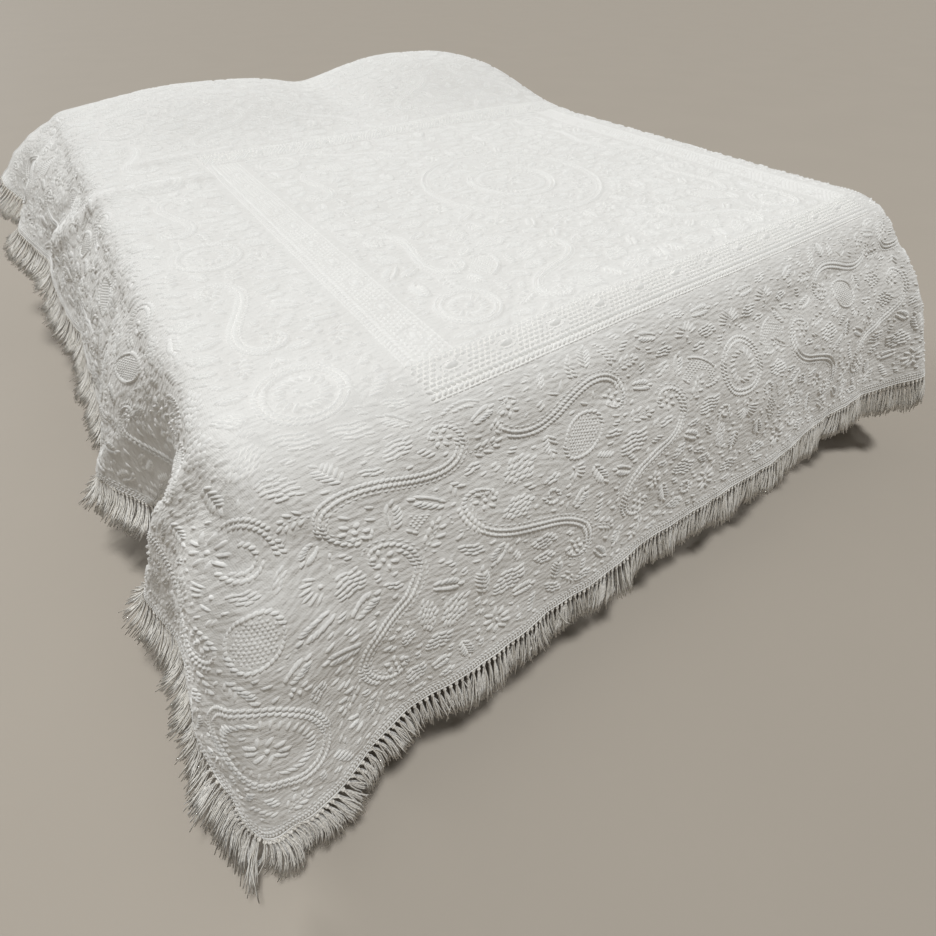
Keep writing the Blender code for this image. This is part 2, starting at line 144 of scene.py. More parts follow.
HEM_RIGHT = [
    # flat, x, y, drop
    (-1.510, 0.965, -1.050, 0.537),
    (-1.385, 0.967, -0.980, 0.540),
    (-1.255, 0.880, -0.920, 0.540),
    (-1.125, 0.867, -0.870, 0.540),
    (-0.995, 0.923, -0.820, 0.540),
    (-0.875, 0.925, -0.760, 0.540),
    (-0.745, 0.877, -0.695, 0.540),
    (-0.605, 0.877, -0.595, 0.540),
    (-0.435, 0.909, -0.445, 0.538),
    (-0.205, 0.887, -0.210, 0.538),
    (0.075, 0.907, 0.075, 0.535),
    (0.375, 0.889, 0.375, 0.533),
    (0.635, 0.915, 0.635, 0.520),
    (0.815, 0.893, 0.815, 0.500),
    (0.995, 0.910, 0.995, 0.485),
]

# Humps that the pillows raise in the cloth
PILLOW_HUMPS = [
    # name, middle x, middle y, half width, half length, height
    ("left", -0.315, 0.750, 0.375, 0.330, 0.083),
    ("right", 0.480, 0.690, 0.365, 0.360, 0.136),
]
HUMP_FALL = 0.9
HUMP_POWER_ACROSS = 3.0
HUMP_POWER_ALONG = 2.6
HUMP_BLEND = 3.0

# Unevenness of the bed under the cloth: waves across, waves along and phase of two crossed sets
RIPPLE_HEIGHT = 0.0035
RIPPLE_ACROSS = (5.1, 2.3, 0.6)
RIPPLE_ALONG = (-1.9, 3.7, 1.1)

# Creases and soft rolls on the flat cloth: a ridge has a height above zero and a trough one below
CREASES = [
    # name, start u, start v, end u, end v, half width, height
    ("pillow pull", -0.537, 0.025, -0.797, 0.005, 0.030, 0.010),
    ("side pull", -0.797, 0.005, -1.097, 0.425, 0.035, 0.016),
    ("side pocket", -0.897, 0.295, -1.207, 0.555, 0.040, -0.018),
    ("upper pull", -0.417, 0.220, -0.697, 0.210, 0.022, 0.008),
    ("pocket lip", -0.827, -0.365, -1.187, -0.425, 0.035, 0.016),
    ("pocket rim", -0.950, -0.735, -1.230, -0.520, 0.032, 0.018),
    ("pocket hollow", -0.965, -0.800, -1.240, -0.630, 0.044, -0.040),
    ("foot roll", -0.657, -1.085, -0.877, -1.305, 0.045, 0.008),
    ("foot hollow", -0.467, -1.085, -0.637, -1.275, 0.045, -0.007),
]
CREASE_END_SLOPE = 4.0
CREASE_END_SHARE = 0.5

# How much of a crease shows where the cloth turns over the edge and where it hangs, and how far the
# hanging cloth's outward side leans up
TROUGH_SHARE = 0.6
DROP_LIFT_HIGH = 0.6
DROP_LIFT_GAIN = 0.4
OUTWARD_TILT = 0.25

# Slight unevenness of the quilted cloth, as crossed waves
PUCKERS = [
    # waves per metre across, along, phase, share
    (3.1, 1.7, 0.4, 0.45),
    (-2.3, 4.3, 1.9, 0.35),
    (6.7, -3.9, 2.7, 0.25),
    (5.3, 7.9, 0.9, 0.20),
]
PUCKER_TOP = 0.0006
PUCKER_DROP = 0.0032

# Closer puckers where the stuffed lines draw the cloth in
FINE_PUCKERS = [
    # waves per metre across, along, phase, share
    (11.3, 4.1, 1.3, 0.40),
    (-7.9, 12.7, 0.2, 0.40),
    (15.7, -9.1, 2.2, 0.30),
    (17.3, 13.9, 0.7, 0.25),
    (-9.7, -19.1, 2.9, 0.20),
]
FINE_TOP = 0.0006
FINE_DROP = 0.0017

# Woven frame on the cloth's face: its outer square and its width
BAND_LEFT = -0.532
BAND_RIGHT = 0.696
BAND_FOOT = -1.020
BAND_HEAD = 0.205
BAND_WIDTH = 0.084
MIDDLE_U = (BAND_LEFT + BAND_RIGHT) / 2.0
MIDDLE_V = (BAND_FOOT + BAND_HEAD) / 2.0

FLAT_MAP = "flat cloth"
SHADE = "shade"


def linear(hex_color):
    """Linear colour of an sRGB hex value."""
    parts = [int(hex_color[place:place + 2], 16) / 255.0 for place in (1, 3, 5)]
    return tuple(part / 12.92 if part <= 0.04045 else ((part + 0.055) / 1.055) ** 2.4
                 for part in parts)


def length_setting(name, description, default):
    return FloatProperty(name=name, description=description, default=default, unit="LENGTH")


def share_setting(name, description, default):
    return FloatProperty(name=name, description=description, default=default, subtype="FACTOR")


def color_setting(name, description, hex_color):
    return FloatVectorProperty(name=name, description=description, default=linear(hex_color),
                               subtype="COLOR", size=3)


class ClothSettings(bpy.types.PropertyGroup):
    """Sizes of the cloth and its raised pattern"""

    grid_step: length_setting("Grid step", "Spacing of the cloth's grid", 0.0125)
    thickness: length_setting("Thickness", "Thickness of the cloth between its puffs", 0.0016)
    puff_rise: share_setting("Puff rise", "Height of a raised puff as a share of its width", 0.50)
    puff_sink: length_setting("Puff sink", "How deep a puff's rim lies in the cloth", 0.0004)
    hem_radius: length_setting("Hem radius", "Radius of the rolled edge", 0.0019)
    fill_seed: IntProperty(
        name="Sprig seed", description="Arrangement of the small sprigs that fill the ground", default=11)
    # The puff colour is painted lighter than the ground and shadow thread between the puffs: painted light on
    # the raised cells and painted shade in the ground between them.
    puff: color_setting("Puff", "Colour of the raised bleached cotton", "#F5F4F1")
    ground: color_setting("Ground", "Colour of the cotton between the puffs", "#EEEDEA")
    shadow_thread: color_setting("Shadow thread", "Slightly greyer cotton of the backing", "#E4E2DE")


class FringeSettings(bpy.types.PropertyGroup):
    """Sizes of the knotted fringe"""

    pitch: length_setting("Knot pitch", "Distance between two knots", 0.0105)
    yarns: IntProperty(name="Yarns", description="Yarns in each knot", default=13)
    yarn_radius: length_setting("Yarn radius", "Radius of one yarn", 0.0014)
    length: length_setting("Length", "Length of the fringe from the hem to its ends", 0.088)
    knot_drop: length_setting("Knot drop", "Distance of the knots below the hem", 0.008)
    ragged: share_setting("Ragged", "How much the yarns differ in length", 0.16)
    yarn: color_setting("Yarn", "Colour of the cotton yarn", "#FDFBF7")
    dull_yarn: color_setting("Dull yarn", "Colour of the yarns that have greyed", "#EFEBE3")


class BedSettings(bpy.types.PropertyGroup):
    """Sizes and colours of the plain bed"""

    piping_radius: length_setting("Piping radius", "Radius of the mattress piping", 0.004)
    pillow: color_setting("Pillow", "Colour of the pillow cotton", "#E9E7E2")
    ticking: color_setting("Ticking", "Colour of the mattress ticking", "#D3D1CC")
    ticking_stripe: color_setting("Ticking stripe", "Colour of the fine stripe in the ticking", "#B9B8B6")
    base_cover: color_setting("Base cover", "Colour of the base's woven cover", "#8C8986")


class StageSettings(bpy.types.PropertyGroup):
    """Floor, lights and camera"""

    floor: color_setting("Floor", "Colour of the floor", "#AEA599")
    key_strength: FloatProperty(
        name="Key light", description="Strength of the soft light overhead", default=2.34)
    rake_strength: FloatProperty(
        name="Raking light", description="Strength of the low light from the head of the bed", default=1.15)
    key_spread: FloatProperty(
        name="Key spread", description="Angle that the overhead light covers",
        default=math.radians(9.0), subtype="ANGLE", unit="ROTATION")
    sky: FloatProperty(name="Sky", description="Strength of the light from straight above", default=0.24)


class BedspreadSettings(bpy.types.PropertyGroup):
    """Everything that a user would change"""

    cloth: PointerProperty(type=ClothSettings)
    fringe: PointerProperty(type=FringeSettings)
    bed: PointerProperty(type=BedSettings)
    stage: PointerProperty(type=StageSettings)


def smoothstep(value):
    value = np.clip(value, 0.0, 1.0)
    return value * value * (3.0 - 2.0 * value)


def unit(vectors):
    """Vectors in the last axis, each made one long."""
    return vectors / np.maximum(np.linalg.norm(vectors, axis=-1, keepdims=True), TINY)


def hump_height(x, y):
    """Height of the cloth over the pillows, with a valley where the two meet."""
    total = 0.0
    for _, middle_x, middle_y, half_width, half_length, height in PILLOW_HUMPS:
        across = (np.abs(x - middle_x) / half_width) ** HUMP_POWER_ACROSS
        along = (np.abs(y - middle_y) / half_length) ** HUMP_POWER_ALONG
        total = total + (height * np.exp(-HUMP_FALL * (across + along))) ** HUMP_BLEND
    return total ** (1.0 / HUMP_BLEND)


def top_height(x, y):
    """Upper face of the bed as the cloth meets it, uneven by a few millimetres."""
    first, second = (np.sin(across * x + along * y + phase)
                     for across, along, phase in (RIPPLE_ACROSS, RIPPLE_ALONG))
    return TOP + np.maximum(0.0, RIPPLE_HEIGHT * (first * second)) + hump_height(x, y)


@lru_cache
def hem_rows():
    """The hem's rows in one array, by distance along the flat hem from the left head corner."""
    rows = [(HEAD_EDGE - flat, x, y, TOP - drop) for flat, x, y, drop in HEM_LEFT]
    rows += [(LEFT_RUN + flat - U_LEFT, x, y, TOP - drop) for flat, x, y, drop in HEM_FOOT]
    rows += [(FOOT_RUN + flat - V_FOOT, x, y, TOP - drop) for flat, x, y, drop in HEM_RIGHT]
    return np.array(rows)


def hem_points(run):
    """Points of the hanging hem at distances along it, on a smooth curve through the rows."""
    rows = hem_rows()
    stations, places = rows[:, 0], rows[:, 1:]
    index = np.clip(np.searchsorted(stations, run) - 1, 0, len(stations) - 2)
    low, high = np.maximum(index - 1, 0), np.minimum(index + 2, len(stations) - 1)
    span = (stations[index + 1] - stations[index])[:, None]
    here, there = places[index], places[index + 1]
    slope_here = (there - places[low]) / (stations[index + 1] - stations[low])[:, None]
    slope_there = (places[high] - here) / (stations[high] - stations[index])[:, None]
    part = np.clip((run - stations[index])[:, None] / span, 0.0, 1.0)
    square, cube = part ** 2, part ** 3
    point = (2.0 * cube - 3.0 * square + 1.0) * here + (cube - 2.0 * square + part) * span * slope_here
    return point + (3.0 * square - 2.0 * cube) * there + (cube - square) * span * slope_there


def crease_lift(u, v):
    """How far the creases raise or sink the cloth at flat points."""
    lift = np.zeros_like(u)
    for _, start_u, start_v, end_u, end_v, half_width, height in CREASES:
        along_u, along_v = end_u - start_u, end_v - start_v
        length = math.hypot(along_u, along_v)
        part = ((u - start_u) * along_u + (v - start_v) * along_v) / length ** 2
        side = ((u - start_u) * along_v - (v - start_v) * along_u) / length
        ends = smoothstep(part * CREASE_END_SLOPE + CREASE_END_SHARE)
        ends = ends * smoothstep((1.0 - part) * CREASE_END_SLOPE + CREASE_END_SHARE)
        lift += height * ends * np.exp(-(side / half_width) ** 2)
    return lift


def pucker(u, v, waves):
    """Soft unevenness between about minus one and one."""
    total = np.zeros_like(u)
    for across, along, phase, share in waves:
        total += share * np.sin(math.tau * (across * u + along * v) + phase)
    return total


def drape(u, v):
    """Middle of the hanging cloth at flat points, a row of x, y, z for each."""
    lift = crease_lift(u, v)
    uneven = pucker(u, v, PUCKERS)
    fine = pucker(u, v, FINE_PUCKERS)
    out_left = -HALF_WIDTH + ROUND_LEFT - u
    out_right = u - HALF_WIDTH + ROUND_RIGHT
    out_foot = FOOT_LINE + ROUND_FOOT - v
    right = out_right > 0.0
    sign = np.where(right, 1.0, -1.0)
    out_side = np.where(right, out_right, out_left)
    bend = np.where(right, ROUND_RIGHT, ROUND_LEFT)
    side_full = bend + np.where(right, OVER_RIGHT, OVER_LEFT)
    foot_full = ROUND_FOOT + OVER_FOOT
    hanging = (out_side > 0.0) | (out_foot > 0.0)
    base_x = np.where(out_side > 0.0, sign * (HALF_WIDTH - bend), u)
    base_y = np.where(out_foot > 0.0, FOOT_LINE + ROUND_FOOT, v)
    out_side, out_foot = np.maximum(out_side, 0.0), np.maximum(out_foot, 0.0)
    share = np.maximum(np.maximum(out_side / side_full, out_foot / foot_full), TINY)
    hem_side, hem_foot = out_side / share, out_foot / share
    reach = np.maximum(np.hypot(hem_side, hem_foot), TINY)
    edge_x = base_x + sign * bend * hem_side / reach
    edge_y = base_y - ROUND_FOOT * hem_foot / reach
    edge_share = np.hypot(edge_x - base_x, edge_y - base_y) / reach
    side_run = np.where(right, FOOT_RUN + base_y - hem_foot - V_FOOT, HEAD_EDGE - base_y + hem_foot)
    foot_run = LEFT_RUN + base_x + sign * hem_side - U_LEFT
    run = np.where(hem_foot < foot_full - TINY, side_run, foot_run)
    base = np.stack([base_x, base_y, top_height(base_x, base_y)], axis=-1)
    edge = np.stack([edge_x, edge_y, top_height(edge_x, edge_y)], axis=-1)
    fall = (hem_points(run) - edge) / (1.0 - edge_share)[:, None]
    upward = OUTWARD_TILT * np.hypot(fall[:, 0], fall[:, 1])
    outward = unit(np.stack([fall[:, 0], fall[:, 1], upward], axis=-1))
    up = np.array([0.0, 0.0, 1.0])

    turn = (share / (2.0 * np.maximum(edge_share, TINY)))[:, None]
    rounded = base * (1.0 - turn) ** 2 + edge * 2.0 * turn * (1.0 - turn)
    rounded += (edge + fall * edge_share[:, None]) * turn ** 2
    part = turn[:, 0]
    round_lift = np.maximum(lift, 0.0) * (1.0 - DROP_LIFT_GAIN * part)
    round_lift += np.minimum(lift, 0.0) * TROUGH_SHARE * part ** 2
    round_lift += (PUCKER_TOP + (PUCKER_DROP - PUCKER_TOP) * smoothstep(part)) * (uneven * part + 1.0 - part)
    round_lift += FINE_TOP + (FINE_DROP - FINE_TOP) * part * fine + FINE_TOP * fine * (1.0 - part)
    rounded += unit(up * (1.0 - turn) + outward * turn) * round_lift[:, None]

    straight = (share - edge_share) / (1.0 - edge_share)
    down = math.pi * np.clip((share - 2.0 * edge_share) / (1.0 - 2.0 * edge_share), 0.0, 1.0)
    swell = np.sin(down) + BELLY_HIGH * np.sin(2.0 * down)
    hang_lift = lift * (DROP_LIFT_HIGH + DROP_LIFT_GAIN * straight)
    hang_lift = hang_lift + BELLY * swell + PUCKER_DROP * uneven + FINE_DROP * fine
    hung = edge + fall * (share - edge_share)[:, None] + outward * hang_lift[:, None]

    lying_lift = np.maximum(lift, 0.0) + PUCKER_TOP * (1.0 + np.maximum(uneven, -1.0)) / 2.0
    lying = base + up * (lying_lift + FINE_TOP * (1.0 + np.maximum(fine, -1.0)))[:, None]
    on_round = (hanging & (part < 1.0))[:, None]
    return np.where(hanging[:, None], np.where(on_round, rounded, hung), lying)


class DrapedSurface:
    """Where each point of the flat cloth hangs, read from an even grid over it."""

    def __init__(self, step):
        self.columns = np.linspace(U_LEFT, U_RIGHT, round((U_RIGHT - U_LEFT) / step) + 1)
        self.rows = np.linspace(V_FOOT, HEAD_EDGE, round((HEAD_EDGE - V_FOOT) / step) + 1)
        u, v = np.meshgrid(self.columns, self.rows)
        self.points = drape(u.ravel(), v.ravel()).reshape(*u.shape, 3)
        across = np.gradient(self.points, self.columns, axis=1)
        along = np.gradient(self.points, self.rows, axis=0)
        self.normals = unit(np.cross(across, along))

    def at(self, u, v, height=0.0):
        """Points at a height over the middle of the cloth."""
        column = (u - U_LEFT) / (U_RIGHT - U_LEFT) * (len(self.columns) - 1)
        row = (v - V_FOOT) / (HEAD_EDGE - V_FOOT) * (len(self.rows) - 1)
        left = np.clip(np.floor(column).astype(int), 0, len(self.columns) - 2)
        low = np.clip(np.floor(row).astype(int), 0, len(self.rows) - 2)
        across, along = (column - left)[..., None], (row - low)[..., None]
        mixed = []
        for grid in (self.points, self.normals):
            lower = grid[low, left] * (1.0 - across) + grid[low, left + 1] * across
            upper = grid[low + 1, left] * (1.0 - across) + grid[low + 1, left + 1] * across
            mixed.append(lower * (1.0 - along) + upper * along)
        return mixed[0] + unit(mixed[1]) * np.asarray(height)[..., None]


@lru_cache
def surface():
    return DrapedSurface(bpy.context.scene.bedspread.cloth.grid_step)


def add_node(tree, kind, settings=None, inputs=None):
    """Add a node with its settings, its inputs fed by values or other nodes' sockets, or left alone."""
    node = tree.nodes.new(kind)
    for key, value in (settings or {}).items():
        setattr(node, key, value)
    for key, value in (inputs or {}).items():
        if isinstance(value, bpy.types.NodeSocket):
            tree.links.new(value, node.inputs[key])
        elif value is not None:
            node.inputs[key].default_value = value
    return node


def start_material(name, roughness, sheen):
    """A material whose even values are set on its shader's own sockets, and its node tree."""
    material = bpy.data.materials.new(name)
    material.use_nodes = True
    inputs = material.node_tree.nodes["Principled BSDF"].inputs
    for key, value in (("Roughness", roughness), ("Sheen Weight", sheen), ("Sheen Roughness", 0.5)):
        inputs[key].default_value = value
    return material, material.node_tree


def finish_material(tree, share, first, second, relief=None):
    """Give the shader a blend of two colours by a share, and its relief."""
    blend = add_node(tree, "ShaderNodeMix", {"data_type": "RGBA"},
                     {0: share, 6: (*first, 1.0), 7: (*second, 1.0)})
    inputs = tree.nodes["Principled BSDF"].inputs
    tree.links.new(blend.outputs[2], inputs["Base Color"])
    if relief is not None:
        tree.links.new(relief, inputs["Normal"])


def finish_in_patches(tree, place, size, detail, first, second, relief=None):
    """Give the shader two colours in soft patches of a size, and its relief."""
    patches = add_node(tree, "ShaderNodeTexNoise", {},
                       {"Vector": place, "Scale": 1.0 / size, "Detail": detail})
    finish_material(tree, patches.outputs["Fac"], first, second, relief)


def darker(settings_color, share):
    return tuple(share * part for part in settings_color)


def weave_bump(tree, place, pitch, depth, under=None):
    """Plain weave: two crossed sets of threads at a pitch, as a bump over another one."""
    threads = [
        add_node(tree, "ShaderNodeTexWave", {"bands_direction": direction, "wave_profile": "SIN"},
                 {"Vector": place, "Scale": 0.5 / pitch / math.pi, "Distortion": 0.6, "Detail": 1.0})
        for direction in ("X", "Y")]
    crossed = add_node(tree, "ShaderNodeMath", {"operation": "MULTIPLY"},
                       {number: wave.outputs["Fac"] for number, wave in enumerate(threads)})
    bump = {"Height": crossed.outputs[0], "Strength": 0.6, "Distance": depth, "Normal": under}
    return add_node(tree, "ShaderNodeBump", {}, bump).outputs["Normal"]


def grain_bump(tree, place, size, depth, under=None, detail=2.0):
    """Irregular grain of a size, as a bump over another one."""
    noise = add_node(tree, "ShaderNodeTexNoise", {},
                     {"Vector": place, "Scale": 1.0 / size, "Detail": detail})
    bump = {"Height": noise.outputs["Fac"], "Strength": 0.7, "Distance": depth, "Normal": under}
    return add_node(tree, "ShaderNodeBump", {}, bump).outputs["Normal"]


# Washing leaves broad patches a shade apart, and the threads are drawn 1.6 mm apart to show
WASHED_PATCH = 120 * MM
COTTON_THREAD = 1.6 * MM


@lru_cache
def matelasse_cotton():
    """Bleached double-woven cotton: matt, softly crinkled between its puffs, with a faint pile sheen."""
    settings = bpy.context.scene.bedspread.cloth
    material, tree = start_material("matelasse cotton", 0.86, 0.12)
    place = add_node(tree, "ShaderNodeUVMap", {"uv_map": FLAT_MAP}).outputs["UV"]
    # The backing draws the face into soft ripples 7 mm wide and longer along the weft, with finer crinkles
    weft = add_node(tree, "ShaderNodeMapping", {}, {"Vector": place, "Scale": (0.45, 1.0, 1.0)})
    ripple = grain_bump(tree, weft.outputs["Vector"], 7.0 * MM, 3.4 * MM, detail=0.0)
    crinkle = grain_bump(tree, place, 4.0 * MM, 1.2 * MM, ripple, detail=1.0)
    threads = weave_bump(tree, place, COTTON_THREAD, 0.25 * MM, crinkle)
    # The ground's two colours lie in random washed patches, and both are painted darker than the puffs' as
    # painted shade between them.
    finish_in_patches(tree, place, WASHED_PATCH, 3.0, settings.ground, settings.shadow_thread, threads)
    return material


@lru_cache
def puffed_cotton_painted_light():
    """Face of the raised cells: the same cotton drawn tight over its stuffing, so it looks smoother, with
    painted light: its colours are lighter than the ground's, for the shade between the puffs.
    """
    settings = bpy.context.scene.bedspread.cloth
    material, tree = start_material("puffed cotton painted light", 0.84, 0.12)
    place = add_node(tree, "ShaderNodeUVMap", {"uv_map": FLAT_MAP}).outputs["UV"]
    threads = weave_bump(tree, place, COTTON_THREAD, 0.22 * MM, grain_bump(tree, place, 5.0 * MM, 0.8 * MM))
    # Painted light: the puffs, the rolled edge and the braid are coloured lighter than the ground around
    # them.
    finish_in_patches(tree, place, WASHED_PATCH, 3.0, settings.puff, settings.ground, threads)
    return material


@lru_cache
def cotton_yarn():
    """Loosely twisted cotton: matt and slightly hairy, each yarn a shade apart from the next."""
    settings = bpy.context.scene.bedspread.fringe
    material, tree = start_material("cotton yarn", 0.92, 0.20)
    place = add_node(tree, "ShaderNodeUVMap", {"uv_map": FLAT_MAP}).outputs["UV"]
    # The plies turn once in about 5 mm
    twist = add_node(tree, "ShaderNodeTexWave", {"bands_direction": "DIAGONAL"},
                     {"Vector": place, "Scale": 1.0 / (5.0 * MM) / math.pi, "Distortion": 0.5})
    plies = add_node(tree, "ShaderNodeBump", {}, {
        "Height": twist.outputs["Fac"], "Strength": 0.7, "Distance": 0.5 * MM})
    shade = add_node(tree, "ShaderNodeAttribute", {"attribute_name": SHADE})
    finish_material(tree, shade.outputs["Fac"], settings.yarn, settings.dull_yarn, plies.outputs["Normal"])
    return material


@lru_cache
def pillow_cotton():
    """Percale pillowcase: smooth, close plain weave with soft crumples."""
    material, tree = start_material("pillow cotton", 0.80, 0.10)
    place = add_node(tree, "ShaderNodeTexCoord").outputs["Object"]
    threads = weave_bump(tree, place, 1.2 * MM, 0.15 * MM, grain_bump(tree, place, 40.0 * MM, 3.0 * MM))
    pale = bpy.context.scene.bedspread.bed.pillow
    finish_in_patches(tree, place, 90 * MM, 2.0, pale, darker(pale, 0.93), threads)
    return material


@lru_cache
def mattress_ticking():
    """Cotton twill ticking: matt, with a fine stripe woven in every 12 mm."""
    settings = bpy.context.scene.bedspread.bed
    material, tree = start_material("mattress ticking", 0.85, 0.08)
    place = add_node(tree, "ShaderNodeTexCoord").outputs["Object"]
    ways = add_node(tree, "ShaderNodeSeparateXYZ", {}, {0: place}).outputs
    stripe = add_node(tree, "ShaderNodeMath", {"operation": "ADD"}, {0: ways[0], 1: ways[1]})
    for operation, value in (("MULTIPLY", 1.0 / (12 * MM)), ("FRACT", None), ("LESS_THAN", 0.22)):
        stripe = add_node(tree, "ShaderNodeMath", {"operation": operation}, {0: stripe.outputs[0], 1: value})
    threads = weave_bump(tree, place, 1.5 * MM, 0.2 * MM)
    finish_material(tree, stripe.outputs[0], settings.ticking, settings.ticking_stripe, threads)
    return material


@lru_cache
def base_cover():
    """Coarse upholstery weave: heathered grey threads drawn 3 mm apart."""
    material, tree = start_material("base cover", 0.92, 0.10)
    place = add_node(tree, "ShaderNodeTexCoord").outputs["Object"]
    grey = bpy.context.scene.bedspread.bed.base_cover
    threads = weave_bump(tree, place, 3.0 * MM, 0.6 * MM)
    finish_in_patches(tree, place, 4 * MM, 2.0, grey, darker(grey, 0.62), threads)
    return material


@lru_cache
def floor_paint():
    """Pale matt floor with hardly any variation."""
    material, tree = start_material("pale floor", 0.75, 0.0)
    place = add_node(tree, "ShaderNodeTexCoord").outputs["Object"]
    pale = bpy.context.scene.bedspread.stage.floor
    finish_in_patches(tree, place, 500 * MM, 3.0, pale, darker(pale, 0.95))
    return material


def place_piece(name, mesh, material, slot, *nodes):
    """Put a finished mesh in the scene as a piece that stands for the named CAD nodes."""
    item = bpy.data.objects.new(name, mesh)
    bpy.context.scene.collection.objects.link(item)
    mesh.materials.append(material)
    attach(item, BODY)
    if nodes:
        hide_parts(*nodes)
    return item


def smooth_mesh(name, form):
    """A smooth-shaded mesh of a bmesh form, which is freed."""
    mesh = bpy.data.meshes.new(name)
    form.to_mesh(mesh)
    form.free()
    mesh.shade_smooth()
    return mesh


def form_arrays(form):
    """Points and triangles of a small bmesh form, which is freed."""
    bmesh.ops.triangulate(form, faces=form.faces)
    form.verts.index_update()
    points = np.array([vert.co for vert in form.verts])
    triangles = np.array([[vert.index for vert in face.verts] for face in form.faces])
    form.free()
    return points, triangles


def cut_form(form, height, **choices):
    """Cut a form all round at a height."""
    everything = form.verts[:] + form.edges[:] + form.faces[:]
    bmesh.ops.bisect_plane(form, geom=everything, plane_co=(0, 0, height), plane_no=(0, 0, 1), **choices)


@lru_cache
def dome():
    """Upper half of a six-sided ball one across and one high, as points and triangles."""
    form = bmesh.new()
    bmesh.ops.create_uvsphere(form, u_segments=6, v_segments=2, radius=1.0)
    cut_form(form, 0, clear_inner=True, dist=1e-5)
    bmesh.ops.scale(form, vec=(0.5, 0.5, 1.0), verts=form.verts)
    return form_arrays(form)


@lru_cache
def noodle():
    """A long low mound one across and one high, with a short ridge, as points and triangles."""
    form = bmesh.new()
    bmesh.ops.create_grid(form, x_segments=3, y_segments=2, size=1.0)
    for vert in form.verts:
        rim = max(abs(vert.co.x), abs(vert.co.y)) > 0.9
        flat = vert.co.xy.normalized() * 0.5 if rim else vert.co.xy * 0.6
        vert.co = (flat.x, flat.y, 0.0 if rim else 1.0)
    return form_arrays(form)


def joined_mesh(name, points, triangles, places, shades=None):
    """One mesh of many copies of a form: points holds each copy's own points, places their flat map."""
    count, size = points.shape[:2]
    faces = (triangles[None] + np.arange(count)[:, None, None] * size).reshape(-1, 3)
    mesh = bpy.data.meshes.new(name)
    mesh.from_pydata(points.reshape(-1, 3), [], faces, shade_flat=False)
    flat = places.reshape(-1, 2)[faces.ravel()]
    mesh.uv_layers.new(name=FLAT_MAP).data.foreach_set("uv", flat.ravel())
    if shades is not None:
        layer = mesh.attributes.new(name=SHADE, type="FLOAT", domain="POINT")
        layer.data.foreach_set("value", np.repeat(shades, size))
    return mesh


WEFT_LEAN = 0.58
ROPE_WIDTH = 0.0062
CORD_WIDTH = 0.0040
PETAL_WIDTH = 0.0074
LEAF_WIDTH = 0.0064
RIB_WIDTH = 0.0056
CORD_GAP = 0.0098
BARB_LEAN = 0.52
LEAF_PAIRS = 3
BEAD_PITCH = 0.0070
BEAD_SIZE = (0.0072, 0.0044)
BUTTON_SIZE = (0.0090, 0.0085)
FEATHER_PITCH = 0.0074
FAN_SPREAD = 2.3
# From one long puff to the next, along and across it
RIB_STEP = (0.0044, 0.0070)
RIPPLE_STEP = (0.0042, 0.0076)
RIPPLE_WAVE = 0.0017
# How a puff's own length and width follow the size of its motif
LENGTH_GROWTH = 0.6
WIDTH_GROWTH = 0.4


# A puff is a row of u, v, angle, length, width. A motif is an array of them about its own middle.
def chain(path, pitch, length, width, turn=0.0):
    """Puffs at an even pitch along a path, each turned from the path's own direction."""
    path = np.asarray(path)
    steps = np.diff(path, axis=0)
    runs = np.concatenate([[0.0], np.cumsum(np.hypot(*steps.T))])
    count = max(int(round(runs[-1] / pitch)), 1)
    places = (np.arange(count) + 0.5) * runs[-1] / count
    x, y = (np.interp(places, runs, path[:, axis]) for axis in (0, 1))
    ahead = np.minimum(places + pitch / 2.0, runs[-1])
    behind = np.maximum(places - pitch / 2.0, 0.0)
    over = [np.interp(ahead, runs, path[:, axis]) - np.interp(behind, runs, path[:, axis]) for axis in (0, 1)]
    angle = np.arctan2(over[1], over[0]) + turn
    return np.column_stack([x, y, angle, np.full(count, length), np.full(count, width)])


def puff(x, y, angle, length, width):
    return np.array([[x, y, angle, length, width]])


def moved(motif, u, v, turn=0.0, size=1.0, flip=False):
    """A motif turned, sized, and set down at a flat place, mirrored first if asked."""
    x, y, angle, length, width = motif.T
    if flip:
        y, angle = -y, -angle
    cos, sin = math.cos(turn), math.sin(turn)
    return np.column_stack([u + size * (x * cos - y * sin), v + size * (x * sin + y * cos), angle + turn,
                            length * size ** LENGTH_GROWTH, width * size ** WIDTH_GROWTH])


def set_down(motif, u, v, turn=0.0, size=1.0, flip=False):
    """A motif in its place, with every puff leaning towards the weft, as the loom makes them."""
    placed = moved(motif, u, v, turn, size, flip)
    lean = (placed[:, 2] + math.pi / 2.0) % math.pi - math.pi / 2.0
    placed[:, 2] = WEFT_LEAN * lean
    return placed


def mirrored(motif, middle):
    """The motif again on the other side of a line along the bed."""
    other = motif.copy()
    other[:, 0] = 2.0 * middle - motif[:, 0]
    other[:, 2] = math.pi - motif[:, 2]
    return other


def turned_over(motif, middle):
    """The motif again on the other side of a line across the bed."""
    other = motif.copy()
    other[:, 1] = 2.0 * middle - motif[:, 1]
    other[:, 2] = -motif[:, 2]
    return other


def ring(radius, steps=40):
    angle = np.linspace(0.0, math.tau, steps)
    return np.column_stack([radius * np.cos(angle), radius * np.sin(angle)])


def spiral(radius, inner, turns):
    """A path that winds in from its radius, starting along +X from its own start at the origin."""
    part = np.linspace(0.0, 1.0, 70)
    angle = -math.pi / 2.0 + math.tau * turns * part
    reach = radius + (inner - radius) * part ** 0.8
    return np.column_stack([reach * np.cos(angle), radius + reach * np.sin(angle)])


def double_scroll_path(length, wind, steps=160):
    """An S whose two ends wind in, through the origin along +X."""
    heading = wind * np.abs(np.linspace(-1.0, 1.0, steps)) ** 2.3
    stride = length / (steps - 1)
    path = np.column_stack([np.cumsum(np.cos(heading)), np.cumsum(np.sin(heading))]) * stride
    return path - path[steps // 2]


